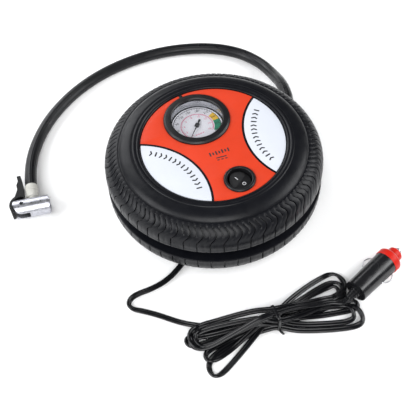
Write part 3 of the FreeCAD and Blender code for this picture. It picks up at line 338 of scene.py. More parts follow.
def noise_at(tree, coordinates, size, detail=2.0, stretch=None):
    """A noise pattern whose features are about size metres across."""
    noise = tree.nodes.new("ShaderNodeTexNoise")
    noise.inputs["Scale"].default_value = 1.0 / size
    noise.inputs["Detail"].default_value = detail
    source = coordinates.outputs["Object"]
    if stretch is not None:
        mapping = tree.nodes.new("ShaderNodeMapping")
        mapping.inputs["Scale"].default_value = stretch
        tree.links.new(source, mapping.inputs["Vector"])
        source = mapping.outputs["Vector"]
    tree.links.new(source, noise.inputs["Vector"])
    return noise.outputs["Fac"]


def ranged(tree, source, low, high):
    """The middle of a noise's range stretched to low..high."""
    spread = tree.nodes.new("ShaderNodeMapRange")
    spread.inputs["From Min"].default_value = 0.3
    spread.inputs["From Max"].default_value = 0.7
    spread.inputs["To Min"].default_value = low
    spread.inputs["To Max"].default_value = high
    tree.links.new(source, spread.inputs["Value"])
    return spread.outputs["Result"]


def finish(name, colour, roughness, metallic=0.0, vary=0.10, rough_vary=0.06, cloud=14 * MM,
           grain=0.35 * MM, relief=0.012 * MM, stretch=None, specular=0.5, alpha=1.0):
    """A procedural material: cloudy colour, uneven gloss and a fine surface grain."""
    made = bpy.data.materials.new(name)
    made.use_nodes = True
    tree = made.node_tree
    shader = tree.nodes["Principled BSDF"]
    coordinates = tree.nodes.new("ShaderNodeTexCoord")
    blend = tree.nodes.new("ShaderNodeMix")
    blend.data_type = "RGBA"
    blend.inputs["A"].default_value = (*[c * (1 - vary) for c in colour], 1)
    blend.inputs["B"].default_value = (*[min(1.0, c * (1 + vary)) for c in colour], 1)
    clouds = noise_at(tree, coordinates, cloud, 3.0, stretch)
    tree.links.new(ranged(tree, clouds, 0.0, 1.0), blend.inputs["Factor"])
    tree.links.new(blend.outputs["Result"], shader.inputs["Base Color"])
    patches = noise_at(tree, coordinates, cloud * 0.4, 2.0, stretch)
    low = max(0.02, roughness - rough_vary)
    tree.links.new(ranged(tree, patches, low, roughness + rough_vary), shader.inputs["Roughness"])
    bump = tree.nodes.new("ShaderNodeBump")
    bump.inputs["Distance"].default_value = relief
    bump.inputs["Strength"].default_value = 1.0
    tree.links.new(noise_at(tree, coordinates, grain, 2.0, stretch), bump.inputs["Height"])
    tree.links.new(bump.outputs["Normal"], shader.inputs["Normal"])
    shader.inputs["Metallic"].default_value = metallic
    shader.inputs["Specular IOR Level"].default_value = specular
    shader.inputs["Alpha"].default_value = alpha
    return made


ALONG_X = (0.12, 1.0, 1.0)

FINISHES = {
    "tyre_black": finish("tyre_plastic", (0.0040, 0.0044, 0.0062), 0.34, vary=0.14, specular=0.21,
                         grain=0.5 * MM, relief=0.02 * MM),
    "orange_face": finish("orange_paint", (0.56, 0.043, 0.015), 0.40, vary=0.03, specular=0.22,
                          grain=0.8 * MM, relief=0.006 * MM),
    "white_face": finish("white_paint", (0.565, 0.59, 0.645), 0.38, vary=0.012, specular=0.25,
                         grain=0.8 * MM, relief=0.006 * MM),
    "trim_black": finish("trim_plastic", (0.0065, 0.0065, 0.0075), 0.36, specular=0.35,
                         vary=0.12, grain=0.4 * MM, relief=0.006 * MM),
    "lens": finish("clear_lens", (0.10, 0.11, 0.12), 0.05, rough_vary=0.02, vary=0.01, relief=0.0,
                   specular=0.6, alpha=0.05),
    "dial_white": finish("dial_card", (0.66, 0.66, 0.71), 0.55, vary=0.015, grain=0.3 * MM,
                         relief=0.004 * MM),
    "needle_dark": finish("needle_paint", (0.02, 0.02, 0.022), 0.42, vary=0.1),
    "steel": finish("plain_steel", (0.56, 0.57, 0.59), 0.27, 1.0, vary=0.06, stretch=ALONG_X,
                    grain=0.3 * MM, relief=0.004 * MM),
    "brass": finish("plain_brass", (0.66, 0.47, 0.18), 0.3, 1.0, vary=0.08, grain=0.3 * MM,
                    relief=0.004 * MM),
    "magnet": finish("sintered_magnet", (0.075, 0.075, 0.08), 0.6, 0.4, grain=0.25 * MM),
    "nylon": finish("natural_nylon", (0.66, 0.64, 0.56), 0.48, vary=0.05),
    "cast_metal": finish("cast_alloy", (0.5, 0.51, 0.53), 0.46, 1.0, vary=0.1, grain=0.6 * MM,
                         relief=0.03 * MM),
    "seal_rubber": finish("seal_rubber", (0.014, 0.014, 0.014), 0.62, vary=0.2, relief=0.02 * MM),
    "inner_tube": finish("inner_tube", (0.24, 0.24, 0.25), 0.5, vary=0.1),
    "hose_rubber": finish("hose_rubber", (0.0034, 0.0037, 0.0048), 0.34, vary=0.2, rough_vary=0.08,
                          grain=0.45 * MM, relief=0.02 * MM, specular=0.30),
    "chuck_chrome": finish("chrome_plate", (0.52, 0.525, 0.57), 0.34, 1.0, vary=0.14,
                           rough_vary=0.10, cloud=3 * MM, relief=0.012 * MM),
    "lever_black": finish("lever_plastic", (0.0045, 0.0045, 0.0052), 0.42, vary=0.18,
                          relief=0.02 * MM, specular=0.24),
    "ferrule_white": finish("ferrule_paint", (0.48, 0.475, 0.44), 0.52, vary=0.12, cloud=3 * MM,
                            grain=0.5 * MM, relief=0.04 * MM),
    "lead_black": finish("lead_sheath", (0.003, 0.0032, 0.0042), 0.20, vary=0.15, specular=0.42,
                         grain=0.4 * MM, relief=0.008 * MM),
    "plug_black": finish("plug_plastic", (0.006, 0.0062, 0.0075), 0.22, vary=0.12, specular=0.6,
                         grain=0.5 * MM, relief=0.004 * MM),
    "cap_red": finish("cap_plastic", (0.52, 0.015, 0.008), 0.34, specular=0.20, vary=0.05,
                      grain=0.5 * MM, relief=0.006 * MM),
    "fuse_glass": finish("fuse_glass", (0.8, 0.84, 0.86), 0.06, vary=0.02, relief=0.0, alpha=0.35),
}

PRINTS = {
    "print_dark": finish("print_dark", (0.016, 0.016, 0.018), 0.5, vary=0.12),
    "print_pale": finish("print_pale", (0.62, 0.62, 0.64), 0.5, vary=0.05),
    "print_pink": finish("print_pink", (0.60, 0.08, 0.20), 0.5, vary=0.06),
    "print_yellow": finish("print_yellow", (0.66, 0.40, 0.03), 0.5, vary=0.05),
    "print_green": finish("print_green", (0.010, 0.19, 0.10), 0.5, vary=0.07),
}

# the one piece whose finish differs from the rest of its slot: the lever pin's end is painted dark, as
# painted shade of the hole it sits in
PIN_PAINTED_SHADE = finish("pin_painted_shade", (0.010, 0.010, 0.012), 0.42, 0.3)


def dress_cad_nodes():
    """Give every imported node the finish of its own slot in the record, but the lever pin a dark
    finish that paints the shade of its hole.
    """
    for part in frame["record"]["subparts"]:
        mesh = frame["nodes"][part["node"]].data
        mesh.materials.clear()
        mesh.materials.append(FINISHES[part["material_slot"]])
    # the lever pin's end is painted dark: painted shade for the hole in the chuck that it sits in
    frame["nodes"]["lever_pin"].data.materials[0] = PIN_PAINTED_SHADE


dress_cad_nodes()


# ------------------------ cords: lines and sweeps

def spline_line(name, route, resolution):
    """The line of one open NURBS spline through its control points, as an array."""
    curve = bpy.data.curves.new(name, "CURVE")
    curve.dimensions = "3D"
    curve.resolution_u = resolution
    spline = curve.splines.new("NURBS")
    spline.points.add(len(route) - 1)
    for spot, place in zip(spline.points, route):
        spot.co = (*place, 1.0)
    spline.order_u = 3
    spline.use_endpoint_u = True
    spline.resolution_u = resolution
    holder = bpy.data.objects.new(name, curve)
    mesh = bpy.data.meshes.new_from_object(holder)
    line = np.array([v.co for v in mesh.vertices], float)
    bpy.data.meshes.remove(mesh)
    bpy.data.objects.remove(holder)
    bpy.data.curves.remove(curve)
    return line


def distances(line):
    """How far along the line each of its points is."""
    steps = np.linalg.norm(np.diff(line, axis=0), axis=1)
    return np.concatenate([[0.0], np.cumsum(steps)])


def swept(name, line, section, roll=None):
    """A tube along a line, whose section of (side, up) points may roll about the line."""
    ahead = np.gradient(line, axis=0)
    ahead /= np.linalg.norm(ahead, axis=1)[:, None]
    side = np.cross(ahead, (0.0, 0.0, 1.0))
    side /= np.linalg.norm(side, axis=1)[:, None]
    up = np.cross(side, ahead)
    if roll is not None:
        c, s = np.cos(roll)[:, None], np.sin(roll)[:, None]
        side, up = side * c + up * s, up * c - side * s
    points = []
    for i, place in enumerate(line):
        points.append(place + section[:, :1] * side[i] + section[:, 1:] * up[i])
    return mesh_from(name, np.concatenate(points), ring_faces(len(line), len(section)))


# ------------------------ the air hose

HOSE_ROUTE = [
    (0.0710, 0.0070, 0.0303), (0.0845, 0.0280, 0.0303), (0.0940, 0.0530, 0.0240),
    (0.1002, 0.0795, 0.0105), (0.1002, 0.1000, 0.0062), (0.0925, 0.1195, 0.0048),
    (0.0765, 0.1365, 0.0048), (0.0540, 0.1496, 0.0048), (0.0280, 0.1583, 0.0048),
    (-0.0010, 0.1614, 0.0048), (-0.0310, 0.1588, 0.0048), (-0.0610, 0.1490, 0.0048),
    (-0.0890, 0.1318, 0.0048), (-0.1105, 0.1090, 0.0052), (-0.1240, 0.0840, 0.0075),
    (-0.1280, 0.0700, 0.0075),
]
HOSE_RADIUS = 4.75 * MM
HOSE_RIBS = 18


def make_air_hose():
    """A rubber hose with shallow ribs along it."""
    line = spline_line("hose_line", HOSE_ROUTE, 12)
    turns = np.linspace(0, 2 * math.pi, 6 * HOSE_RIBS, endpoint=False)
    radius = HOSE_RADIUS - 0.16 * MM * (0.5 + 0.5 * np.cos(HOSE_RIBS * turns)) ** 2
    section = np.stack([radius * np.cos(turns), radius * np.sin(turns)], axis=1)
    hose = piece_of("ribbed_hose", swept("ribbed_hose", line, section), "hose_rubber",
                    replaces=["air_hose"], sharp=60)
    return hose, line


hose, hose_line = make_air_hose()


# ------------------------ the lead and its tied turns

LEAD_ROUTE = [
    (-0.0525, -0.0493, 0.0039), (-0.0623, -0.0538, 0.00205), (-0.0735, -0.0574, 0.0020),
    (-0.0845, -0.0580, 0.0020), (-0.0945, -0.0568, 0.0020), (-0.1010, -0.0576, 0.0020),
    (-0.1050, -0.0616, 0.0020), (-0.1034, -0.0668, 0.0020), (-0.0974, -0.0718, 0.0020),
    (-0.0886, -0.0808, 0.0020), (-0.0804, -0.0908, 0.0020), (-0.0734, -0.0974, 0.0020),
]
HANK_START = [(-0.0655, -0.1030), (-0.0540, -0.1072), (-0.0420, -0.1128), (-0.0305, -0.1192)]
HANK_END = [(-0.0070, -0.1262), (0.0040, -0.1288), (0.0140, -0.1320), (0.0235, -0.1352)]
TIE_CENTRE = Vector((-0.0194, -0.1252))
TIE_TURN = math.radians(-6.0)
CORD_WIDTH = 4.3 * MM
CORD_THICK = 2.3 * MM
PLUG_TAIL = Vector((0.0412, -0.1354, 0.0095))
PLUG_AIM = Vector((0.962, 0.274, 0.0)).normalized()
RELIEF_LENGTH = 9.0 * MM

# each loop of the hank: side of the tie, reach, half width, how far its tip lies to one side,
# and how soon it bends that way; all but the last in millimetres
HANK_LOOPS = [
    (1, 60.5, 5.2, -9.4, 1.1), (-1, 64.0, 5.4, 9.0, 0.8),
    (1, 59.0, 12.5, -18.5, 0.75), (-1, 57.0, 11.5, -17.2, 1.4),
    (1, 54.0, 9.0, -15.2, 0.75), (-1, 56.0, 6.4, -7.4, 1.0),
    (1, 53.0, 6.2, 6.2, 0.8), (-1, 62.0, 6.2, 6.6, 0.8),
    (1, 57.0, 11.5, 6.4, 0.8), (-1, 57.5, 9.6, 7.6, 0.7),
    (1, 59.5, 15.5, 11.5, 0.8), (-1, 61.0, 14.5, 8.0, 0.6),
]
LOOP_POINTS = 18
WAIST_SLOTS = (-4.4, 0.2, 4.6, -4.6, 4.4, 0.0, 4.7, -4.5, 0.3, -4.4, -0.2, 4.4, 0.1)


def hank_loop(side, reach, half_width, tip_shift, bend, slots):
    """Points of one loop from the tie out and back, in the tie's own plan axes."""
    roundness = math.sqrt(reach / half_width)
    spots = []
    for k in range(LOOP_POINTS):
        t = k / LOOP_POINTS
        out = math.sin(math.pi * t)
        turn = roundness * math.cos(math.pi * t)
        width = half_width * out ** 0.8 * turn / math.sqrt(1 + turn * turn)
        slot = (slots[0] * (1 - t) + slots[1] * t) * (1 - out) ** 0.7
        spots.append((side * reach * out, tip_shift * out ** bend + width + slot))
    return spots


def hank_plan():
    """The plan of the whole tied part, from where the lead joins it to the plug's relief."""
    ahead = Vector((math.cos(TIE_TURN), math.sin(TIE_TURN)))
    across = Vector((-ahead.y, ahead.x))
    plan = [Vector(spot) for spot in HANK_START]
    for i, loop in enumerate(HANK_LOOPS):
        for along, beside in hank_loop(*loop, WAIST_SLOTS[i:i + 2]):
            plan.append(TIE_CENTRE + (ahead * along + across * beside) * MM)
    plan.append(TIE_CENTRE + across * WAIST_SLOTS[-1] * MM)
    plan += [Vector(spot) for spot in HANK_END]
    return np.array([tuple(spot) for spot in plan])


def eased(values, sigma, step):
    """Values smoothed along the line by a bell curve of that width."""
    reach = int(3 * sigma / step) + 1
    offsets = np.arange(-reach, reach + 1) * step
    weights = np.exp(-0.5 * (offsets / sigma) ** 2)
    padded = np.pad(values, reach, mode="edge")
    return np.convolve(padded, weights / weights.sum(), mode="valid")


def edge_on(line, tight=7 * MM, gentle=16 * MM):
    """How far the flat cord stands on its edge, 0 to 1: it does where its plan bends tightly."""
    along = distances(line)
    heading = np.unwrap(np.arctan2(np.gradient(line[:, 1], along), np.gradient(line[:, 0], along)))
    step = along[-1] / (len(line) - 1)
    bend = np.abs(np.gradient(eased(heading, 2 * MM, step), along))
    share = (bend - 1 / gentle) / (1 / tight - 1 / gentle)
    return eased(np.clip(share, 0, 1), 3.5 * MM, step)


def settle(plan):
    """Heights of the tied turns: each loop lies on what was wound before it, or on the floor."""
    fine = 6
    count = (len(plan) - 1) * fine + 1
    at = np.arange(count) / fine
    whole = np.arange(len(plan))
    dense = np.stack([np.interp(at, whole, plan[:, k]) for k in range(2)], axis=1)
    on_edge = edge_on(np.column_stack([dense, np.zeros(count)]))
    floor = CORD_THICK / 2 + (CORD_WIDTH - CORD_THICK) / 2 * np.maximum(on_edge, 0.28)
    height = floor.copy()
    pitch = 2.0 * MM
    reach = 3.0 * MM
    batch = LOOP_POINTS * fine
    for start in range(batch, count, batch):
        end = min(start + batch, count)
        laid = start - fine * 2
        gap = np.linalg.norm(dense[start:end, None, :] - dense[None, :laid, :], axis=2)
        lift = pitch * np.sqrt(np.clip(1 - (gap / reach) ** 2, 0, None))
        held = np.where(gap < reach, height[None, :laid] + lift, 0.0).max(axis=1)
        raw = np.maximum(height[start:end], held)
        walk = distances(dense[start:end])
        slope = 0.24
        spread = raw[None, :] - slope * np.abs(walk[:, None] - walk[None, :])
        height[start:end] = spread.max(axis=1)
    return np.maximum(height, floor)[::fine]


def cord_route():
    plan = hank_plan()
    heights = settle(plan)
    tied = [(x, y, z) for (x, y), z in zip(plan, heights)]
    end = PLUG_TAIL - PLUG_AIM * RELIEF_LENGTH
    lead_out = [tuple(end - PLUG_AIM * 6 * MM), tuple(end)]
    rise = np.linspace(0, 1, len(HANK_END))
    last = len(tied) - len(HANK_END)
    for i, share in enumerate(rise):
        x, y, z = tied[last + i]
        tied[last + i] = (x, y, max(z, z * (1 - share) + end.z * share))
    return LEAD_ROUTE + tied + lead_out


def two_core_section():
    """A flat two-core cord: two round cores side by side with a web between them."""
    core = CORD_THICK / 2
    centre = CORD_WIDTH / 2 - core
    gap = math.radians(28)
    right = np.linspace(-math.pi + gap, math.pi - gap, 15)
    right = np.stack([centre + core * np.cos(right), core * np.sin(right)], axis=1)
    return np.concatenate([right, -right])


def make_power_cord():
    line = spline_line("cord_line", cord_route(), 6)
    roll = edge_on(line) * math.radians(52) + math.radians(8)
    mesh = swept("two_core_cord", line, two_core_section(), roll)
    cord = piece_of("two_core_cord", mesh, "lead_black", replaces=["power_lead", "lead_hank"],
                    sharp=70)
    return cord, line


power_cord, cord_line = make_power_cord()


def make_tie():
    """The band round the turns, drawn up tight, with its cut tail."""
    ahead = Vector((math.cos(TIE_TURN), math.sin(TIE_TURN), 0))
    across = Vector((-ahead.y, ahead.x, 0))
    centre = Vector((*TIE_CENTRE, 0))
    offset = cord_line - np.array(centre)
    near = offset[np.abs(offset @ np.array(ahead)) < 2 * MM]
    beside = near @ np.array(across)
    margin = CORD_WIDTH / 2 - 0.6 * MM
    low_side, high_side = beside.min() - margin, beside.max() + margin
    top = near[:, 2].max() + CORD_THICK / 2 + 0.2 * MM
    outline = softened([(low_side, 0.5 * MM, 2.5 * MM), (high_side, 0.5 * MM, 2.5 * MM),
                        (high_side, top, 4 * MM), (low_side, top, 4 * MM)], steps=8)
    band = [(centre + across * x + Vector((0, 0, z))) for x, z in outline]
    half_wide = 1.0 * MM
    half_thick = 0.45 * MM
    middle = sum(band, Vector()) / len(band)
    section = [(-1, -0.6), (-0.7, -1), (0.7, -1), (1, -0.6), (1, 0.6), (0.7, 1), (-0.7, 1), (-1, 0.6)]
    points = []
    for i, place in enumerate(band):
        tangent = (band[(i + 1) % len(band)] - band[i - 1]).normalized()
        out = tangent.cross(ahead).normalized()
        out = out if out.dot(place - middle) > 0 else -out
        points += [place + ahead * a * half_wide + out * b * half_thick for a, b in section]
    faces = ring_faces(len(band), len(section), closed=True)
    tail_start = centre + across * (low_side + 0.5 * MM) + Vector((0, 0, 2.4 * MM))
    tail = [tail_start, tail_start - across * 2.5 * MM + ahead * 0.4 * MM,
            tail_start - across * 4.6 * MM + ahead * 1.6 * MM - Vector((0, 0, 0.9 * MM))]
    first = len(points)
    for place in tail:
        points += [place + ahead * a * half_wide * 0.8 + Vector((0, 0, b * half_thick))
                   for a, b in section]
    faces += [tuple(first + v for v in face) for face in ring_faces(len(tail), len(section))]
    mesh = mesh_from("cord_tie", points, faces)
    return piece_of("cord_tie", mesh, "lead_black", replaces=["hank_tie"])


cord_tie = make_tie()


# ------------------------ the tyre-shaped housing

MID = 30.3              # the housing's middle height, and its outline from there, in millimetres
TYRE_RADIUS = 82.5
TREAD_CENTRE = (67.3, 10.85)
BORDER_RADIUS = 71.5
WALL = 2.5
SIPES = 54
SIPE_DEPTH = 1.05
# columns across one tread block, in shares of its width: the sipe's floor, its walls, then the
# block with a shorter sipe in its middle
SIPE_COLUMNS = (-0.032, 0.0, 0.032, 0.052, 0.10, 0.24, 0.38, 0.452, 0.472, 0.528, 0.548, 0.64, 0.78,
                0.90, 0.948)


def smooth_step(low, high, value):
    t = np.clip((value - low) / (high - low), 0, 1)
    return t * t * (3 - 2 * t)


def tread_line(rows):
    """The outside of one half from its lip to the top ring, and how far along the tread each is."""
    reach = TYRE_RADIUS - TREAD_CENTRE[0]
    end = math.acos((BORDER_RADIUS - TREAD_CENTRE[0]) / reach)
    turns = np.linspace(0, end, rows)
    flank = [(TYRE_RADIUS, 6.05), (TYRE_RADIUS, 7.6), (TYRE_RADIUS, 9.3)]
    curve = [(TREAD_CENTRE[0] + reach * math.cos(t), TREAD_CENTRE[1] + reach * math.sin(t))
             for t in turns]
    line = np.array(flank + curve)
    return line, distances(line) / distances(line)[-1]


def tread_shift(share):
    """How far a sipe leans sideways, in blocks: upright at the lip, then hooked at its top."""
    return 0.46 * smooth_step(0.34, 0.64, share) - 0.26 * smooth_step(0.70, 0.92, share)


def tread_depth(share, column):
    """The depth of the tread's cuts at a share of its width and a place across the block."""
    depth = 0.0
    if abs(column) < 0.04:
        depth = SIPE_DEPTH * smooth_step(0.03, 0.09, share) * (1 - smooth_step(0.84, 0.93, share))
    elif 0.46 < column < 0.54:
        depth = 0.40 * smooth_step(0.58, 0.64, share) * (1 - smooth_step(0.90, 0.95, share))
    near = min(abs(column), abs(column - 0.5), abs(column - 1))
    swell = 0.16 * smooth_step(0.0, 0.16, near) * smooth_step(0.05, 0.2, share)
    return depth + 0.16 - swell if 0.02 < share < 0.985 else depth


def tyre_mesh(name, side):
    """One hollow half of the tyre with its cut tread, sidewall rings and inner wall."""
    outside, shares = tread_line(30)
    border = [(71.1, 25.30), (70.7, 25.42), (70.4, 25.95), (70.0, 26.45), (69.2, 27.05),
              (68.2, 27.75), (67.0, 28.35), (65.6, 28.88), (64.0, 29.35), (62.4, 29.68),
              (61.2, 29.78), (60.6, 29.68), (60.2, 29.72), (60.0, 29.95), (59.6, 30.2),
              (58.8, 30.3), (57.7, 30.25), (57.3, 30.0), (56.9, 29.75), (56.5, 29.85),
              (56.0, 30.02), (55.4, 29.9), (54.8, 29.6), (54.4, 29.1), (54.4, 27.0)]
    back = [(54.4, 25.4), (60.0, 27.6), (66.0, 26.2), (70.0, 23.3), (75.4, 20.0), (79.0, 15.0),
            (80.0, 10.85), (79.9, 8.8), (66.5, 8.8), (66.5, 6.3), (69.0, 6.3), (81.7, 5.35),
            (82.2, 5.5)]
    outline = [tuple(p) for p in outside] + border + back
    cut_rows = len(outside)
    columns = np.array([block + place for block in range(SIPES) for place in SIPE_COLUMNS])
    places = np.tile(SIPE_COLUMNS, SIPES)
    normals = np.gradient(outside, axis=0)
    normals = np.stack([normals[:, 1], -normals[:, 0]], axis=1)
    normals /= np.linalg.norm(normals, axis=1)[:, None]
    points = []
    for i, (radius, height) in enumerate(outline):
        lean = tread_shift(shares[min(i, cut_rows - 1)])
        turns = 2 * math.pi * (columns + lean) / SIPES
        if i < cut_rows:
            depth = np.array([tread_depth(shares[i], place) for place in SIPE_COLUMNS])
            depth = np.tile(depth, SIPES)
            radii = radius - depth * normals[i, 0]
            heights = height - depth * normals[i, 1]
        else:
            radii = np.full(len(places), radius)
            heights = np.full(len(places), height)
        points.append(np.stack([radii * np.cos(turns), radii * np.sin(turns),
                                MID + side * heights], axis=1) * MM)
    faces = ring_faces(len(outline), len(columns), closed=True)
    return mesh_from(name, np.concatenate(points), faces)


def circle(centre, radius, steps=96):
    return arc(centre, radius, 0, 360 - 360 / steps, steps)


def scaled(outline):
    return [(x * MM, y * MM) for x, y in outline]


GAUGE = (0.0, 25.85)
SWITCH = (0.0, -40.0)
PANEL_CENTRES = {"left": (-75.0, -23.5), "right": (75.0, -23.5)}
POST_TURNS = (75, 150, 240, 300)
POST_RING = 57.0
PLATE_LOW = 58.2
PLATE_TOP = 59.0
FACE_RADIUS = 54.0
BITE_RADIUS = 55.4      # of the orange face's two bites; the lenses in them are a little smaller
LENS_RADIUS = 54.3


def post_spots():
    """The middles of the four screw posts, in metres."""
    turns = [math.radians(turn) for turn in POST_TURNS]
    return [Vector((math.cos(turn), math.sin(turn), 0)) * POST_RING * MM for turn in turns]


def well_cutter():
    """The four holes under the base that the screws go in by, as one mesh."""
    points = []
    faces = []
    for spot in post_spots():
        turned, hole = lathed([(0, -2 * MM), (3 * MM, -2 * MM), (3 * MM, 14 * MM), (0, 14 * MM)], 40)
        faces += [tuple(len(points) + v for v in face) for face in hole]
        points += moved(turned, Matrix.Translation(spot))
    return mesh_from("well_cutter", points, faces)


def make_housing():
    piece_of("upper_tyre", tyre_mesh("upper_tyre", 1), "tyre_black", replaces=["upper_shell"], sharp=42)
    lower_tyre = drilled(tyre_mesh("lower_tyre", -1), well_cutter())
    piece_of("lower_tyre", lower_tyre, "tyre_black", replaces=["lower_shell"], sharp=42)
    upper_holes = [circle(GAUGE, 21.8), circle(SWITCH, 10.1, 64)]
    upper = plate_mesh("upper_deck", [scaled(circle((0, 0), 54.9))] + [scaled(h) for h in upper_holes],
                       (PLATE_LOW - WALL) * MM, PLATE_LOW * MM, 0.1 * MM)
    piece_of("upper_deck", upper, "tyre_black", replaces=["upper_shell"])
    lower = plate_mesh("lower_deck", [scaled(circle((0, 0), 54.9))], 2.4 * MM, 4.9 * MM, 0.1 * MM)
    piece_of("lower_deck", drilled(lower, well_cutter()), "tyre_black", replaces=["lower_shell"])
    for i, spot in enumerate(post_spots()):
        place = Matrix.Translation(spot)
        turned_piece(f"upper_post_{i}", [(0, 30.4, 0), (4, 30.4, 0.3), (4, 56.4, 0), (0, 56.4, 0)],
                     "tyre_black", place, 32, replaces=["upper_shell"])
        turned_piece(f"screw_well_{i}", [(3.0, 0.25, 0.1), (4.2, 0.25, 0.2), (4.2, 30.2, 0.2),
                                         (1.8, 30.2, 0.1), (1.8, 14.0, 0), (3.0, 14.0, 0)],
                     "tyre_black", place, 40, replaces=["lower_shell"])
    for i, radius in enumerate((20.0, 36.0)):
        inner, outer = radius - 1.2, radius + 1.2
        turned_piece(f"base_ring_{i}", [(inner, 1.5, 0.4), (outer, 1.5, 0.4), (outer, 3.0, 0),
                                        (inner, 3.0, 0)],
                     "tyre_black", columns=128, replaces=["lower_shell"])


make_housing()


# ------------------------ the coloured face

def crossing(centre, radius, disc):
    """Directions from an arc's centre to where it meets the disc's edge, in degrees, low first."""
    away = math.hypot(*centre)
    inward = math.degrees(math.atan2(-centre[1], -centre[0]))
    half = math.degrees(math.acos((away ** 2 + radius ** 2 - disc ** 2) / (2 * away * radius)))
    return inward - half, inward + half


def lens_outline(centre, radius, disc):
    """The lens where a circle round centre overlaps the face's disc."""
    low, high = crossing(centre, radius, disc)
    inner = arc(centre, radius, low, high, 40)
    first = math.degrees(math.atan2(inner[-1][1], inner[-1][0]))
    last = math.degrees(math.atan2(inner[0][1], inner[0][0]))
    if last < first:
        last += 360
    rim = arc((0, 0), disc, first, last, 40)
    return inner + rim[1:-1]


def orange_outline(disc=FACE_RADIUS, radius=BITE_RADIUS, notch=1.3):
    """The face's disc without its two lens bites, and with the notch beside the gauge's tab."""
    outline = []
    left, right = PANEL_CENTRES["left"], PANEL_CENTRES["right"]
    for centre, next_centre in ((right, left), (left, right)):
        low, high = crossing(centre, radius, disc)
        bite = arc(centre, radius, high, low, 48)
        outline += bite
        low, high = crossing(next_centre, radius, disc)
        end = (next_centre[0] + radius * math.cos(math.radians(high)),
               next_centre[1] + radius * math.sin(math.radians(high)))
        first = math.degrees(math.atan2(bite[-1][1], bite[-1][0])) % 360
        last = math.degrees(math.atan2(end[1], end[0])) % 360
        if last < first:
            last += 360
        if first < 90 < last:
            edge = math.degrees(math.asin(notch / disc))
            outline += arc((0, 0), disc, first, 90 - edge, 30)[1:]
            outline += [(notch, 50.6), (-notch, 50.6)]
            outline += arc((0, 0), disc, 90 + edge, last, 30)[:-1]
        else:
            outline += arc((0, 0), disc, first, last, 40)[1:-1]
    return outline


def make_face():
    holes = [circle(GAUGE, 22.4), circle(SWITCH, 10.4, 64)]
    outlines = [scaled(orange_outline())] + [scaled(h) for h in holes]
    face = plate_mesh("orange_face", outlines, PLATE_LOW * MM, PLATE_TOP * MM, 0.18 * MM)
    piece_of("orange_face", face, "orange_face", replaces=["orange_plate"])
    ribs = Marks("face_ribs", Matrix.Translation((0, 0, (PLATE_LOW - 0.2) * MM)), 1.07 * MM)
    for label, centre in PANEL_CENTRES.items():
        lens = plate_mesh(f"{label}_lens", [scaled(lens_outline(centre, LENS_RADIUS, 53.7))],
                          PLATE_LOW * MM, PLATE_TOP * MM, 0.18 * MM)
        piece_of(f"{label}_lens", lens, "white_face", replaces=[label + "_panel"])
        low, high = crossing(centre, 54.9, 54.6)
        ribs.band(centre, LENS_RADIUS - 0.3, BITE_RADIUS + 0.3, low, high)
    ribs.made("tyre_black")
    make_face_marks()


def make_face_marks():
    """Plain dashes where the face is printed: an arc of them on each panel, two rows between."""
    marks = Marks("face_marks", Matrix.Translation((0, 0, PLATE_TOP * MM)))
    runs = [(PANEL_CENTRES["left"], 47.2, 50.5, -11.0), (PANEL_CENTRES["right"], 46.8, 193.5, 132.0)]
    for centre, radius, first, last in runs:
        for i, turn in enumerate(np.linspace(first, last, 14)):
            spot = (centre[0] + radius * math.cos(math.radians(turn)),
                    centre[1] + radius * math.sin(math.radians(turn)))
            across = (math.cos(math.radians(turn)), math.sin(math.radians(turn)))
            along = (-across[1], across[0])
            if i % 3 == 1:
                marks.bar(spot, across, 4.4, 1.15)
                continue
            for step in (-1.0, 1.0):
                tilt = 0.55 if step > 0 else -0.55
                centre_of_leg = (spot[0] + across[0] * step, spot[1] + across[1] * step)
                leg = (across[0] + along[0] * tilt, across[1] + along[1] * tilt)
                marks.bar(centre_of_leg, leg, 2.9, 1.1)
    row = Vector((0.985, -0.139))
    upright = Vector((0.139, 0.985))
    for k in range(7):
        spot = Vector((-7.6, -9.7)) + row * 2.35 * k
        marks.bar(spot, upright, 3.8 if k % 2 == 0 else 2.6, 1.15)
    row = Vector((0.98, -0.19))
    for k in range(3):
        marks.bar(Vector((-4.6, -16.9)) + row * 3.0 * k, row, 2.0, 0.9)
    marks.bar(Vector((-1.4, -15.4)), row, 8.0, 0.9)
    marks.made("trim_black", PRINTS["print_dark"])


make_face()


# ------------------------ the gauge

DIAL_TOP = 51.0
SCALE_START = 223.0
SCALE_SWEEP = -266.0


def make_gauge():
    place = Matrix.Translation((GAUGE[0] * MM, GAUGE[1] * MM, 0))
    turned_piece("gauge_rim", [
        (19.4, 59.95, 0.1), (19.4, 60.5, 0.3), (20.2, 61.2, 0.4), (23.8, 61.0, 0.6),
        (25.1, 60.1, 0.5), (25.4, 59.2, 0.1), (25.4, 59.0, 0), (21.75, 59.0, 0), (21.75, 57.5, 0),
        (20.95, 57.5, 0), (20.95, 59.95, 0)], "trim_black", place, 160, replaces=["gauge_bezel"])
    tab = plate_mesh("rim_tab", [scaled([(-1.2, 49.4), (1.2, 49.4), (1.2, 54.2), (-1.2, 54.2)])],
                     58.2 * MM, 59.3 * MM, 0.2 * MM)
    piece_of("rim_tab", tab, "trim_black", replaces=["gauge_bezel"])
    make_dial_print(place @ Matrix.Translation((0, 0, DIAL_TOP * MM)))


